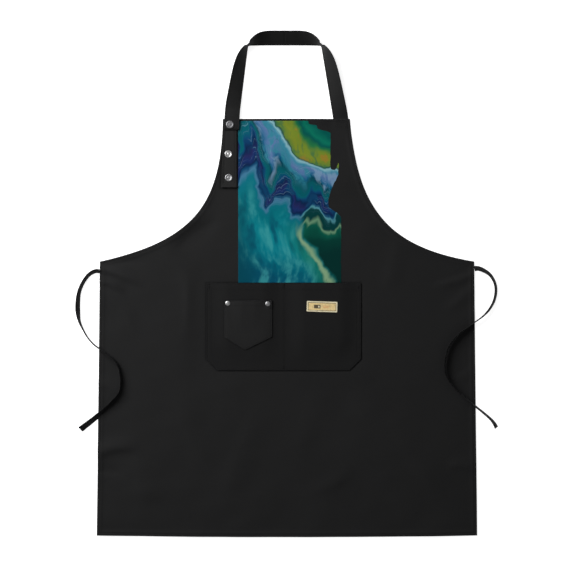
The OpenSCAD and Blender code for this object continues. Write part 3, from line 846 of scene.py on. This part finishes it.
# Faint folds in the body, from one point to another: x0, y0, x1, y1, width, height
CREASES = [
    (-0.352, -0.312, -0.275, -0.300, 0.016, 3.2), (-0.350, -0.345, -0.300, -0.352, 0.012, -1.6),
    (-0.352, 0.030, -0.270, 0.000, 0.009, 3.0), (-0.350, 0.008, -0.300, -0.014, 0.009, 2.4),
    (-0.348, 0.036, -0.262, 0.040, 0.010, -1.8), (-0.335, -0.010, -0.280, -0.080, 0.014, 1.4),
    (0.350, 0.022, 0.262, -0.004, 0.010, 2.0), (0.345, 0.000, 0.285, -0.050, 0.014, 1.4),
    (-0.150, 0.140, -0.225, 0.070, 0.013, 2.6), (-0.135, 0.120, -0.200, 0.060, 0.012, -1.4),
    (-0.250, 0.085, -0.160, -0.010, 0.026, 1.6), (0.215, 0.090, 0.170, -0.020, 0.022, 1.0),
    (-0.225, -0.190, -0.140, -0.330, 0.034, 1.4), (0.060, -0.200, 0.020, -0.400, 0.034, 1.0),
    (0.120, -0.200, 0.230, -0.330, 0.028, 1.2), (-0.060, -0.230, -0.110, -0.430, 0.026, 0.8),
    (0.210, -0.250, 0.280, -0.420, 0.028, 1.4), (-0.290, -0.270, -0.260, -0.440, 0.028, 1.2),
    (0.040, -0.380, 0.120, -0.350, 0.016, 1.0), (-0.300, -0.385, -0.200, -0.395, 0.020, 0.8),
    (0.300, -0.330, 0.346, -0.345, 0.012, 1.6), (-0.190, 0.010, -0.176, -0.090, 0.014, 1.4),
    (-0.350, -0.180, -0.300, -0.210, 0.014, 1.6), (0.346, -0.150, 0.300, -0.175, 0.014, 1.2),
]
# Places where the cloth lies flat because something is sewn or set in it: low and high corners
FLATS = [
    (pocket_low, pocket_high, 45 * MM), (placket_low, placket_high, 35 * MM),
    (anchor_low, anchor_high, 30 * MM),
]
HEM_FOLD = 9.8 * MM
HEM_SEAM = 4.9 * MM


def flatness(x, y):
    flat = np.zeros(len(x))
    for low, high, reach in FLATS:
        dx = np.maximum(np.maximum(low.x - x, x - high.x), 0)
        dy = np.maximum(np.maximum(low.y - y, y - high.y), 0)
        flat = np.maximum(flat, 1 - ramp(np.hypot(dx, dy), 0, reach))
    return flat


def lift(x, y):
    """How far the cloth lies above the surface, in metres."""
    z = 1.1 + 2.4 * noise_at(x, y, 0.20, 0.7)
    z += 1.0 * noise_at(x, y, 0.055, 3.1, math.radians(62), 5)
    z += 0.8 * noise_at(x, y, 0.050, 5.4, math.radians(-38), 4)
    z += 0.45 * noise_at(x, y, 0.030, 8.2, math.radians(15), 3)
    for x0, y0, x1, y1, width, height in CREASES:
        length = math.hypot(x1 - x0, y1 - y0)
        ux, uy = (x1 - x0) / length, (y1 - y0) / length
        t = ((x - x0) * ux + (y - y0) * uy) / length
        bend = 0.35 * width * np.sin(3.2 * t + 9 * x0)
        off = (x - x0) * -uy + (y - y0) * ux + bend
        fade = ramp(t, -0.15, 0.3) * (1 - ramp(t, 0.6, 1.15))
        side = np.where(off > 0, width, width * 0.6)
        z += height * fade * np.exp(-(off / side) ** 2)
    soft = 0.25
    z = np.where(z > 20 * soft, z, soft * np.log1p(np.exp(np.minimum(z, 20 * soft) / soft)))
    return z * 1.5 * MM


def body_base(x, y):
    flat = flatness(x, y)
    rest = 0.95 * MM
    return rest + (BODY_Z - rest) * flat, lift(x, y) * (1 - flat)


def pucker(d, s, reach=16 * MM):
    """Ripples that a stitched edge pulls into the cloth."""
    beat = np.array([noise.noise((v / 0.05, 2.5, 0.0)) for v in s])
    phase = np.array([noise.noise((v / 0.03, 7.5, 0.0)) for v in s])
    size = (0.16 + 0.34 * np.clip(beat, 0, 1)) * MM
    wave = np.sin(math.tau * s / (8.5 * MM) + 5 * phase)
    rise = np.clip(d / (2 * MM), 0.35, 1)
    return size * wave * rise * np.clip(1 - d / reach, 0, 1) ** 1.5


def edge_shape(d, seam, round_r):
    """A turned edge: it rolls off at the edge and is pulled in along its seam."""
    roll = 1 - np.sqrt(1 - (1 - np.clip(d / round_r, 0, 1)) ** 2)
    crown = 0.16 * MM * np.sin(np.pi * np.clip(d / seam, 0, 1))
    groove = 0.34 * MM * np.exp(-((d - seam) / (0.55 * MM)) ** 2)
    return crown - groove - roll * round_r * 0.8


SEAM_REACH = 22 * MM


def seam_pull(x, y, outline, depth=0.55 * MM):
    """How far the stitched edge of a piece on top pulls the body's cloth in beside it."""
    loop, travel = outline.ring(0.0), outline.travel()
    low, high = loop.min(0) - SEAM_REACH, loop.max(0) + SEAM_REACH
    near = (x > low[0]) & (x < high[0]) & (y > low[1]) & (y < high[1])
    pull = np.zeros(len(x))
    if near.any():
        spots = np.column_stack([x[near], y[near]])
        gap, which = nearest(spots, loop)
        outer = np.where(inside(spots, loop), 0.0, gap)
        dip = -depth * np.exp(-(outer / (2.6 * MM)) ** 2)
        pull[near] = dip + 0.8 * pucker(outer, travel[which] + 0.17, SEAM_REACH)
    return pull


def body_top(x, y, d, s):
    base, up = body_base(x, y)
    hem = (BODY_Z - base) * (1 - ramp(d, HEM_FOLD - 3 * MM, HEM_FOLD + 2.5 * MM))
    pull = seam_pull(x, y, POCKET_OUTLINE) + seam_pull(x, y, PLACKET_OUTLINE, 0.35 * MM)
    return base + up + hem + edge_shape(d, HEM_SEAM, 0.9 * MM) + pucker(d, s) + pull


def seam_painted_shade(x, y, d):
    """Painted shade in the crack beside a piece that is sewn on top."""
    dark = np.zeros(len(x))
    for over, width in ((POCKET_OUTLINE, 1.8 * MM), (PLACKET_OUTLINE, 3.4 * MM)):
        loop = over.ring(0.0)
        near = np.hypot(*(np.column_stack([x, y]) - loop.mean(0)).T) < 0.25
        gap, _ = nearest(np.column_stack([x[near], y[near]]), loop)
        dark[near] = np.maximum(dark[near], np.exp(-(gap / width) ** 2))
    return 0.9 * dark


# Painted shade along a piece's own edge
def edge_painted_shade(x, y, d):
    return 0.8 * np.exp(-(d / (0.7 * MM)) ** 2)


def body_under(x, y, d, s, front):
    _, up = body_base(x, y)
    single = front - CLOTH_T
    hem = up + np.clip(pucker(d, s), 0, 1)
    low = np.where(d < HEM_FOLD + 0.1 * MM, np.minimum(hem, single), single)
    behind = ((x > anchor_low.x - 1 * MM) & (x < anchor_high.x + 1 * MM)
              & (y > anchor_low.y - 1 * MM) & (y < anchor_high.y + 1 * MM))
    return np.where(behind, np.maximum(low, STRAP_T), np.maximum(low, 0.0))


BODY_INSETS = [v * MM for v in (0, 0.12, 0.4, 0.9, 2.2, 3.8, 4.5, 4.9, 5.3, 6.2, 8.0, 9.7, 9.95, 12.2, 16)]


def hem_rows(outline, top, seam, sides, offset, under=None):
    """Rows of stitches along some sides of an outline, on its front and, if asked, its back."""
    travel = np.concatenate([[0], np.cumsum([arc[-1] for arc in outline.arcs])])
    rows = []
    for i in sides:
        line = outline.side(i, seam)
        x, y = line[:, 0], line[:, 1]
        s = outline.arcs[i] + travel[i]
        d = np.full(len(x), seam)
        z = top(x, y, d, s) + offset
        rows.append((np.column_stack([x, y, z]), np.tile(UP, (len(x), 1))))
        if under is not None:
            z = under(x, y, d, s, z - offset) - offset
            rows.append((np.column_stack([x, y, z]), np.tile(-UP, (len(x), 1))))
    return rows


def add_body(canvas, thread):
    outline = Outline(body_sides(), 3.2 * MM)
    seams = [
        over.ring(-out * MM) for over in (POCKET_OUTLINE, PLACKET_OUTLINE) for out in (-1, 0.7, 2.2, 4.2, 7.5)
    ]
    piece = cloth("body_cloth", outline, BODY_INSETS, 4.6 * MM, body_top, body_under, canvas,
                  seams, seam_painted_shade)
    on_root(piece, "canvas", "body_panel")
    rows = hem_rows(outline, body_top, HEM_SEAM, range(len(outline.sides)), 0.12 * MM, body_under)
    on_root(stitches("body_hem_stitches", rows, thread), "canvas")


# ---- Print ----

PRINT_EDGE = [
    (61, 298), (58, 292), (46, 290), (42, 283), (24, 278), (20, 272), (20, 245), (20, 214), (15, 208),
    (10, 209), (7, 217), (5, 221), (4.5, 215), (6, 205), (7, 196), (18, 172), (24, 150), (21, 138),
    (5, 126), (0.3, 114), (0.5, 60), (0, 0),
]
PRINT_T = 0.16 * MM


def add_print(material):
    low, high = print_low, print_high
    right = np.array([(high.x - a * MM, low.y + b * MM) for a, b in PRINT_EDGE])
    right = smooth_line(right[::-1], 1.2 * MM)
    ragged = np.array([noise.noise((p[0] / 0.006, p[1] / 0.006, 1.5)) for p in right])
    fade = np.clip(np.minimum(np.arange(len(right)), np.arange(len(right))[::-1]) / 8, 0, 1)
    right[:, 0] = np.minimum(right[:, 0] + 1.1 * MM * ragged * fade, high.x)
    sides = [
        right,
        np.array([right[-1], (low.x, high.y)]),
        np.array([(low.x, high.y), (low.x, low.y)]),
        np.array([(low.x, low.y), right[0]]),
    ]
    outline = Outline(sides, 1.6 * MM)

    def face(x, y, d, s):
        base, up = body_base(x, y)
        edge = body_high.y - y
        hem = (BODY_Z - base) * (1 - ramp(edge, HEM_FOLD - 3 * MM, HEM_FOLD + 2.5 * MM))
        return base + up + hem + PRINT_T

    def back(x, y, d, s, front):
        return front - PRINT_T * 0.9

    piece = cloth("print_film", outline, [0, 0.12 * MM, 0.5 * MM], 3.4 * MM, face, back, material)
    on_root(piece, "print", "art_panel")


# ---- Pockets ----

POCKET_SEAM = 6 * MM
POCKET_T = 1.5 * MM         # two layers round the sewn edge
PATCH_SEAM = 13 * MM
PATCH_PUFF = 3.0 * MM
PATCH_T = 1.4 * MM


def pocket_face(x, y):
    """Front of the pocket's cloth: sewn down round its edge and along its middle."""
    low, high = pocket_low, pocket_high
    left = x - low.x - POCKET_SEAM
    right = high.x - POCKET_SEAM - x
    bottom = y - low.y - POCKET_SEAM
    middle = np.abs(x - POCKET_MID) - 4 * MM
    corner = (np.minimum(x - low.x, high.x - x) + bottom - POCKET_CUT) / math.sqrt(2)
    room = ramp(left, 0, 36 * MM) * ramp(right, 0, 36 * MM) * ramp(middle, 0, 36 * MM)
    room = room * ramp(bottom, 0, 60 * MM) * ramp(corner, 0, 45 * MM)
    seat = BODY_Z + POCKET_T
    ripple = 0.35 * noise_at(x, y, 0.028, 4.4, math.radians(80), 3) * MM
    ripple += 0.5 * noise_at(x, y, 0.07, 6.1) * MM
    return seat + (POCKET_Z - seat) * room + ripple * np.clip(1.25 - room, 0, 1) * 0.9


def pocket_top(x, y, d, s):
    return pocket_face(x, y) + edge_shape(d, 2.2 * MM, 0.8 * MM) + pucker(d, s, 12 * MM) * 0.7


def pocket_under(x, y, d, s, front):
    thick = np.where(d < 9.5 * MM, POCKET_T, CLOTH_T)
    return np.maximum(front - thick, BODY_Z + 0.02 * MM)


def patch_painted_shade(x, y, d):
    """Painted shade on the pocket's cloth: along its own edge, and in the crack beside the patch pocket."""
    gap, _ = nearest(np.column_stack([x, y]), Outline(patch_sides(), 2 * MM).ring(0.0))
    return np.maximum(edge_painted_shade(x, y, d), 0.9 * np.exp(-(gap / (1.6 * MM)) ** 2))


def patch_sides():
    low, high = patch_low, patch_high
    side_y = high.y - PATCH_SIDE_H
    return sides_of([
        (high.x, high.y), (low.x, high.y), (low.x, side_y), tuple(PATCH_POINT), (high.x, side_y),
    ])


def patch_face(x, y):
    low, high = patch_low, patch_high
    left = x - low.x - PATCH_SEAM * 0.75
    right = high.x - PATCH_SEAM * 0.75 - x
    bottom = y - (high.y - PATCH_SIDE_H) + 4 * MM
    room = ramp(left, 0, 26 * MM) * ramp(right, 0, 26 * MM) * ramp(bottom, 0, 60 * MM)
    face = pocket_face(x, y) + PATCH_T + PATCH_PUFF * room
    # The rivets hold the cloth at one height
    for side in ("left", "right"):
        at = middle("rivet_head_" + side)
        held = 1 - ramp(np.hypot(x - at.x, y - at.y), 5 * MM, 13 * MM)
        face = face + (PATCH_SEAT_Z + CLOTH_T - face) * held
    return face


def patch_top(x, y, d, s):
    return patch_face(x, y) + edge_shape(d, 2.0 * MM, 0.8 * MM) + pucker(d, s + 0.3, 10 * MM) * 0.6


def patch_under(x, y, d, s, front):
    return np.maximum(front - PATCH_T, pocket_face(x, y) + 0.02 * MM)


POCKET_INSETS = [v * MM for v in (0, 0.1, 0.35, 0.8, 1.6, 2.2, 2.8, 4.0, 6.0, 9.0)]
BAR_TACK = 8 * MM


def flat_rows(lines, height, offset=0.1 * MM):
    """Rows of stitches along straight lines on a face that height gives."""
    rows = []
    for line in lines:
        line = along(np.array(line), 2 * MM)
        z = height(line[:, 0], line[:, 1]) + offset
        rows.append((np.column_stack([line, z]), np.tile(UP, (len(line), 1))))
    return rows


def tack_lines(x, y, width, height):
    """A bar tack: a tight zigzag over a short bar."""
    count = 7
    levels = np.linspace(y - height / 2, y + height / 2, count)
    return [[(x - width / 2, level), (x + width / 2, level + height / count * 0.5)] for level in levels]


def add_pockets(canvas, patch_canvas_painted_light, thread):
    outline = POCKET_OUTLINE
    seams = [Outline(patch_sides(), 2 * MM).ring(-out * MM) for out in (-1, 0.6, 1.8, 3.4, 5.5)]
    pocket = cloth("pocket_cloth", outline, POCKET_INSETS, 3.6 * MM, pocket_top, pocket_under, canvas,
                   seams, patch_painted_shade)
    on_root(pocket, "canvas", "front_pocket")
    rows = hem_rows(outline, pocket_top, 2.2 * MM, range(1, 6), 0.1 * MM)
    rows += hem_rows(outline, pocket_top, 8.5 * MM, [1, 5], 0.05 * MM)
    mid, low, high = POCKET_MID, pocket_low.y, pocket_high.y
    hem_y = high - 12 * MM
    lines = [
        [(mid - 1.6 * MM, high - 2 * MM), (mid - 1.6 * MM, low + 2 * MM)],
        [(mid + 1.6 * MM, high - 2 * MM), (mid + 1.6 * MM, low + 2 * MM)],
        [(pocket_low.x + 3 * MM, hem_y), (pocket_high.x - 3 * MM, hem_y)],
    ]
    rows += flat_rows(lines, pocket_face)
    on_root(stitches("pocket_stitches", rows, thread), "canvas")
    tacks = []
    for x in (pocket_low.x + 5 * MM, pocket_high.x - 5 * MM, mid):
        tacks += tack_lines(x, high - 6 * MM, 2.4 * MM, BAR_TACK)
    tacks += tack_lines(mid, low + 6 * MM, 2.4 * MM, BAR_TACK)
    rows = flat_rows(tacks, pocket_face, 0.2 * MM)
    on_root(stitches("pocket_bar_tacks", rows, thread, length=2.2 * MM), "canvas")

    outline = Outline(patch_sides(), 2.0 * MM)
    patch = cloth("patch_cloth", outline, POCKET_INSETS[:-1], 3.0 * MM, patch_top, patch_under,
                  patch_canvas_painted_light, shaded=edge_painted_shade)
    on_root(patch, "canvas", "patch_pocket")
    rows = hem_rows(outline, patch_top, 2.0 * MM, range(1, 5), 0.1 * MM)
    hem_y = patch_high.y - 9 * MM
    rows += flat_rows([[(patch_low.x + 2 * MM, hem_y), (patch_high.x - 2 * MM, hem_y)]], patch_face)
    on_root(stitches("patch_stitches", rows, thread), "canvas")


# ---- Placket and snaps ----

def add_placket(placket_cloth, thread):
    low, high = placket_low, placket_high
    outline = PLACKET_OUTLINE
    studs = [middle("snap_stud_%d" % k) for k in (1, 2, 3)]

    def raised(y):
        """The lower end lies a little off the bib."""
        return 2.6 * MM * (1 - ramp(y, low.y, low.y + 14 * MM)) ** 2

    def face(x, y):
        z = high.z + raised(y)
        z += 0.3 * MM * noise_at(x, y, 0.02, 2.2, math.radians(90), 2)
        near = np.min([np.hypot(x - p.x, y - p.y) for p in studs], axis=0)
        return high.z + (z - high.z) * ramp(near, 7 * MM, 13 * MM)

    def top(x, y, d, s):
        return face(x, y) + edge_shape(d, 4.5 * MM, 0.8 * MM) + pucker(d, s + 0.9, 9 * MM) * 0.4

    # Painted shade along the edge, and a painted shadow down the right side beside the print
    def shade(x, y, d):
        return np.maximum(edge_painted_shade(x, y, d), 0.95 * np.exp(-((high.x - x) / (2.8 * MM)) ** 2))

    def under(x, y, d, s, front):
        return low.z + 0.02 * MM + raised(y)

    insets = [v * MM for v in (0, 0.12, 0.4, 0.8, 2.0, 3.9, 4.5, 5.1, 7.0)]
    piece = cloth("placket_cloth", outline, insets, 3 * MM, top, under, placket_cloth, shaded=shade)
    on_root(piece, "strap_canvas", "snap_placket")
    rows = hem_rows(outline, top, 4.5 * MM, range(4), 0.1 * MM)
    rows += hem_rows(outline, top, 1.4 * MM, [1, 2, 3], 0.1 * MM)
    on_root(stitches("placket_stitches", rows, thread), "strap_canvas")


def add_snaps(metal, cap_metal, dark_metal):
    """A cap on the strap, a socket under it, and three studs and posts on the bib."""
    low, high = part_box("snap_cap")
    at = middle("snap_cap")
    r = (high.x - low.x) / 2
    seat = end_high.z
    top = high.z
    profile = profile_of(
        (0, seat, [(2.0, -0.4)]),
        (r, seat, [(-0.8, -0.1), (-0.1, 0.1), (0, 0.45), (-0.15, 0.85), (-0.6, 1.25)]),
        (r, top, [(-1.3, -0.3), (-2.1, -0.12), (-2.6, -0.25), (-3.1, -0.5), (-3.8, -0.58)]),
        (0, top, [(2.4, -0.4), (1.2, -0.3), (0.3, -0.28)]),
    )
    cap = lathe("cap_of_snap", at, profile, cap_metal)
    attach(cap, "strap_end")
    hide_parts("snap_cap")
    for k in (1, 2, 3):
        node = "snap_stud_%d" % k
        low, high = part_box(node)
        at = middle(node)
        r = (high.x - low.x) / 2
        z, knob = low.z, high.z
        rim = [(-0.3, -0.15), (0, 0.1), (-0.05, 0.45), (-0.5, 0.75), (-1.2, 0.85), (-2.0, 0.72), (-2.6, 0.42)]
        profile = profile_of(
            (0, z, [(1.3, -0.2)]),
            (r, z, rim),
            (0, z, [(2.9, 0.32), (2.25, 0.4), (2.0, 0.75), (2.2, 1.15)]),
            (0, knob, [(2.05, -0.15), (1.6, 0), (1.0, -0.06), (0.7, -0.35), (0.2, -0.45)]),
        )
        # Stud 3 is in the darker nickel
        face_metal = dark_metal if k == 3 else metal
        on_root(lathe("stud_%d" % k, at, profile, face_metal), "snap_metal", node)
    repaint("snap_socket", metal)
    for k in (1, 2, 3):
        repaint("snap_post_%d" % k, dark_metal)


def repaint(node, material):
    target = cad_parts[node]
    target.data.materials.clear()
    target.data.materials.append(material)


def add_rivets(metal, dark_metal):
    for side in ("left", "right"):
        low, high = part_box("rivet_head_" + side)
        at = middle("rivet_head_" + side)
        r = (high.x - low.x) / 2
        z, top = PATCH_SEAT_Z + CLOTH_T, high.z
        profile = profile_of(
            (0, low.z, [(1.6, 0)]),
            (0, z, [(1.6, -0.1)]),
            (r, z, [(-0.4, -0.1), (0, 0.2), (-0.1, 0.55), (-0.6, 0.95)]),
            (r, top, [(-1.4, -0.3)]),
            (0, top, [(2.2, -0.12), (1.7, -0.2), (1.4, -0.1), (1.0, 0), (0.3, 0)]),
        )
        # The right rivet is in the darker nickel
        face_metal = metal if side == "left" else dark_metal
        on_root(lathe("rivet_" + side, at, profile, face_metal, 48), "rivet_metal", "rivet_head_" + side)
        repaint("rivet_burr_" + side, dark_metal)


# ---- Label ----

LABEL_W = 56.5 * MM
LABEL_H = 19.5 * MM
LABEL_TURN = math.radians(-1.8)
# The plate from its back edge to its middle: inset and corner radius in mm, share of its thickness
LABEL_LEVELS = [
    (0.3, 1.2, 0.0), (0.0, 1.5, 0.12), (0.0, 1.5, 0.50), (0.4, 1.3, 0.88), (0.9, 1.0, 1.0),
    (1.9, 0.8, 1.0), (2.4, 0.7, 0.62), (3.2, 0.6, 0.62), (3.6, 0.5, 0.80), (5.0, 0.4, 0.80),
]
LABEL_RIM, LABEL_GROOVE = 6, 7      # the steps at which the rim and the groove end
# A plain device: a dark plate, two faint rules beside it and a raised end whose pale colour is a painted
# highlight. Each has two corners in mm from the label's middle and its material.
LABEL_SHAPES = [
    ((-15.0, -3.3), (-3.0, 3.3), 0), ((2.0, 0.5), (14.0, 2.2), 1),
    ((2.0, -2.3), (12.0, -0.6), 1), ((-7.4, -1.7), (-4.6, 1.7), 2),
]


def set_faces(piece, materials, kinds):
    """Flat faces, each in its own one of a piece's materials."""
    for material in materials:
        piece.data.materials.append(material)
    for kind, polygon in zip(kinds, piece.data.polygons):
        polygon.use_smooth = False
        polygon.material_index = kind


def add_label(gold, pale_gold, dark_gold, rule_gold, steel):
    centre = middle("label_backing")
    z = POCKET_Z
    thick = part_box("label_plate")[1].z - z
    c, s = math.cos(LABEL_TURN), math.sin(LABEL_TURN)

    def place(u, v, w):
        return (centre.x + u * c - v * s, centre.y + u * s + v * c, w)

    verts = []
    arc = 5
    for inset, radius, share in LABEL_LEVELS:
        radius = radius * MM
        half_w, half_h = LABEL_W / 2 - inset * MM - radius, LABEL_H / 2 - inset * MM - radius
        for k, (sx, sy) in enumerate(((1, 1), (-1, 1), (-1, -1), (1, -1))):
            for j in range(arc + 1):
                angle = math.pi / 2 * (k + j / arc)
                verts.append(place(sx * half_w + radius * math.cos(angle),
                                   sy * half_h + radius * math.sin(angle), z + share * thick))
    count = len(verts) // len(LABEL_LEVELS)
    plate = new_object("label", verts, tube_faces(len(LABEL_LEVELS), count), pale_gold)
    inner = len(LABEL_LEVELS) - 1 - LABEL_GROOVE
    kinds = [0] * LABEL_RIM + [1] * (LABEL_GROOVE - LABEL_RIM) + [2] * inner
    set_faces(plate, (dark_gold, gold), list(np.repeat(kinds, count)) + [0, 2])
    on_root(plate, "label_metal", "label_plate")
    verts, faces, kinds = [], [], []
    for (u0, v0), (u1, v1), kind in LABEL_SHAPES:
        faces += tube_faces(2, 4, len(verts))
        for w in (z + 0.7 * thick, z + (0.95 if kind == 2 else 0.88) * thick):
            verts += [place(u * MM, v * MM, w) for u, v in ((u1, v1), (u0, v1), (u0, v0), (u1, v0))]
        kinds += [kind] * 6
    device = new_object("label_device", verts, faces, dark_gold)
    set_faces(device, (rule_gold, pale_gold), kinds)
    on_root(device, "label_metal")
    repaint("label_backing", steel)


# ---- Neck strap ----

def limb_turn(d, reach):
    """Angle at which a side of the strap stands, a distance d down from the loop's corner."""
    return 0.0 if d >= reach else math.pi / 2 / (1 + d / LIMB_HALF) * (1 - (d / reach) ** 6)


def band_turn(d):
    """Angle at which the top of the strap stands, a distance d in from the loop's corner."""
    return BAND_LEAN + (math.pi / 2 - BAND_LEAN) * max(0, 1 - d / BAND_RISE) ** 2


def end_height(d):
    return 0.0 if d >= END_DROP else END_Z * (1 + math.cos(math.pi * d / END_DROP)) / 2


def strap_station(point, out, turn, z=0.0):
    """Edge point, direction across and direction up, for a strap that stands up by a turn."""
    side = np.array([math.cos(turn) * out.x, math.cos(turn) * out.y, math.sin(turn)])
    up = np.array([-math.sin(turn) * out.x, -math.sin(turn) * out.y, math.cos(turn)])
    base = np.array([point.x, point.y, z + STRAP_T / 2 * math.cos(turn)])
    return base, side, up


CORNER_STEPS = 8
CORNER_R = 3.5 * MM
SPLIT_X = -0.0045


def loop_side(low, top, out, heights, towards):
    """Stations from the bib up one side of the loop, round its corner and to the middle of its top.
    heights gives the height above the surface from the distance up the side."""
    stations = []
    length = (top - low).length
    direction = (top - low) / length
    stop = length - CORNER_R
    for d in np.linspace(0, stop, 48):
        turn = limb_turn(length - d, length - LIMB_FLAT)
        stations.append(strap_station(low + direction * d, out, turn, heights(d)))
    start, end = low + direction * stop, Vector((top.x + towards * CORNER_R, top.y))
    for k in range(1, CORNER_STEPS):
        t = k / CORNER_STEPS
        point = start * (1 - t) ** 2 + top * (2 * t * (1 - t)) + end * t * t
        stations.append(strap_station(point, (out * (1 - t) + Vector((0, 1)) * t).normalized(), math.pi / 2))
    span = abs(SPLIT_X - end.x)
    for d in np.linspace(0, span, 28):
        point = Vector((end.x + towards * d, end.y))
        flow = 0.25 * MM * math.sin(d / (9 * MM)) * (1 - math.exp(-d / (20 * MM)))
        stations.append(strap_station(point, Vector((0, 1)), band_turn(d + CORNER_R), abs(flow)))
    return stations


def band_painted_shade(stations):
    """Painted shade: the top of the loop is made darker."""
    up = np.array([base[1] for base, _, _ in stations])
    return ramp(up, BAND_Y - 10 * MM, BAND_Y + 5 * MM)


def strap_half(title, stations, strap_cloth, thread, rows=()):
    """One side of the strap and its stitches."""
    piece = ribbon("strap_%s_side" % title, stations, STRAP_W, STRAP_T, strap_cloth, (STRAP_SEAM,),
                   band_painted_shade(stations))
    seams = seam_rows(stations, STRAP_SEAM, STRAP_T) + seam_rows(stations, STRAP_W - STRAP_SEAM, STRAP_T)
    sewing = stitches("strap_%s_stitches" % title, seams + list(rows), thread)
    for made in (piece, sewing):
        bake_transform(made)
    return piece


def add_strap(strap_cloth, thread):
    left_way = (LEFT_TOP - LEFT_LOW).normalized()
    right_way = (RIGHT_TOP - RIGHT_LOW).normalized()
    left_out = Vector((-left_way.y, left_way.x))
    right_out = Vector((right_way.y, -right_way.x))
    fold = LEFT_LOW + left_way * (FOLD_UP / left_way.y)

    # Snapped side: the end on the bib, the fold, and the left half of the loop
    low = Vector((LEFT_LOW.x - 0.8 * MM, end_low.y))
    tip_out = Vector((-1, 0.01)).normalized()
    stations = []
    for t in np.linspace(0, 1, 16, endpoint=False):
        point = low.lerp(fold, t)
        droop = -1.3 * MM * (1 - min(1, t / 0.17)) ** 2
        stations.append(strap_station(point, tip_out.lerp(left_out, t).normalized(), 0.0, END_Z + droop))
    stations += loop_side(fold, LEFT_TOP, left_out, end_height, 1)
    left = strap_half(
        "snapped", stations, strap_cloth, thread,
        cross_rows(stations[1], STRAP_SEAM, STRAP_W - STRAP_SEAM, STRAP_T),
    )
    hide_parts("strap_end", "neck_strap")

    # Sewn side: behind the bib's corner, then the right half of the loop
    behind = anchor_high.y - anchor_low.y - 2 * MM
    low = RIGHT_LOW - right_way * (behind - 4 * MM)
    stations = [
        strap_station(low.lerp(RIGHT_LOW, t), right_out, 0.0) for t in np.linspace(0, 1, 9, endpoint=False)
    ]
    stations += loop_side(RIGHT_LOW, RIGHT_TOP, right_out, lambda d: 0.0, -1)
    right = strap_half(
        "sewn", stations, strap_cloth, thread,
    )
    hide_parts("strap_anchor", "neck_strap")

    # Box of stitches that holds the sewn end, through the bib
    lines = []
    for k in range(5):
        y = body_high.y - (3 + 3.4 * k) * MM
        x = RIGHT_LOW.x + (y - RIGHT_LOW.y) * right_way.x / right_way.y
        lines.append([(x + 3 * MM, y), (x + STRAP_W - 3.5 * MM, y)])

    def bib_face(x, y):
        return body_top(x, y, body_high.y - y, np.zeros(len(x)))

    rows = flat_rows(lines, bib_face, 0.12 * MM)
    on_root(stitches("anchor_stitches", rows, thread), "strap_canvas")


# ---- Build ----

add_camera()
tape = canvas_material("tie_tape", (0.007, 0.007, 0.0072), 0.42 * MM, sheen=0.02)
black_thread = thread_material("black_thread", (0.0075, 0.0075, 0.008))
waist_tie("waist_tie_left_tape", LEFT_TIE, tape, black_thread)
waist_tie("waist_tie_right_tape", RIGHT_TIE, tape, black_thread)
add_stage()
canvas = canvas_material("body_canvas", (0.0138, 0.0138, 0.014), 0.55 * MM)
# The pocket and the patch pocket are the body's canvas in other tones: the pocket's copy is darker, a painted
# shade, and the patch pocket's copy is lighter than it, a painted light
pocket_canvas_painted_shade = canvas_material("pocket_canvas_painted_shade", (0.0088, 0.0088, 0.009), 0.55 * MM)
patch_canvas_painted_light = canvas_material("patch_canvas_painted_light", (0.0145, 0.0145, 0.0147), 0.55 * MM)
placket_cloth = canvas_material("placket_canvas", (0.0185, 0.0185, 0.0187), 0.5 * MM)
strap_cloth = canvas_material("strap_canvas", (0.0142, 0.0142, 0.0144), 0.5 * MM, sheen=0.03)
nickel = metal_material("nickel", (0.62, 0.62, 0.62), 0.32, 0.12)
cap_nickel = metal_material("cap_nickel", (0.25, 0.25, 0.26), 0.42, 0.2)
dark_nickel = metal_material("dark_nickel", (0.42, 0.42, 0.43), 0.36, 0.2)
gold = metal_material("gold", (1.0, 0.76, 0.36), 0.45, 0.25, 0.1)
pale_gold = metal_material("pale_gold", (1.0, 0.90, 0.62), 0.40, 0.25, 0.1)
dark_gold = metal_material("dark_gold", (0.16, 0.12, 0.07), 0.5, 0.2, 0.5)
rule_gold = metal_material("rule_gold", (0.90, 0.52, 0.22), 0.45, 0.2, 0.2)
add_body(canvas, black_thread)
add_print(print_material())
add_pockets(pocket_canvas_painted_shade, patch_canvas_painted_light, black_thread)
add_placket(placket_cloth, black_thread)
add_snaps(nickel, cap_nickel, dark_nickel)
add_rivets(nickel, dark_nickel)
add_label(gold, pale_gold, dark_gold, rule_gold, dark_nickel)
add_strap(strap_cloth, black_thread)
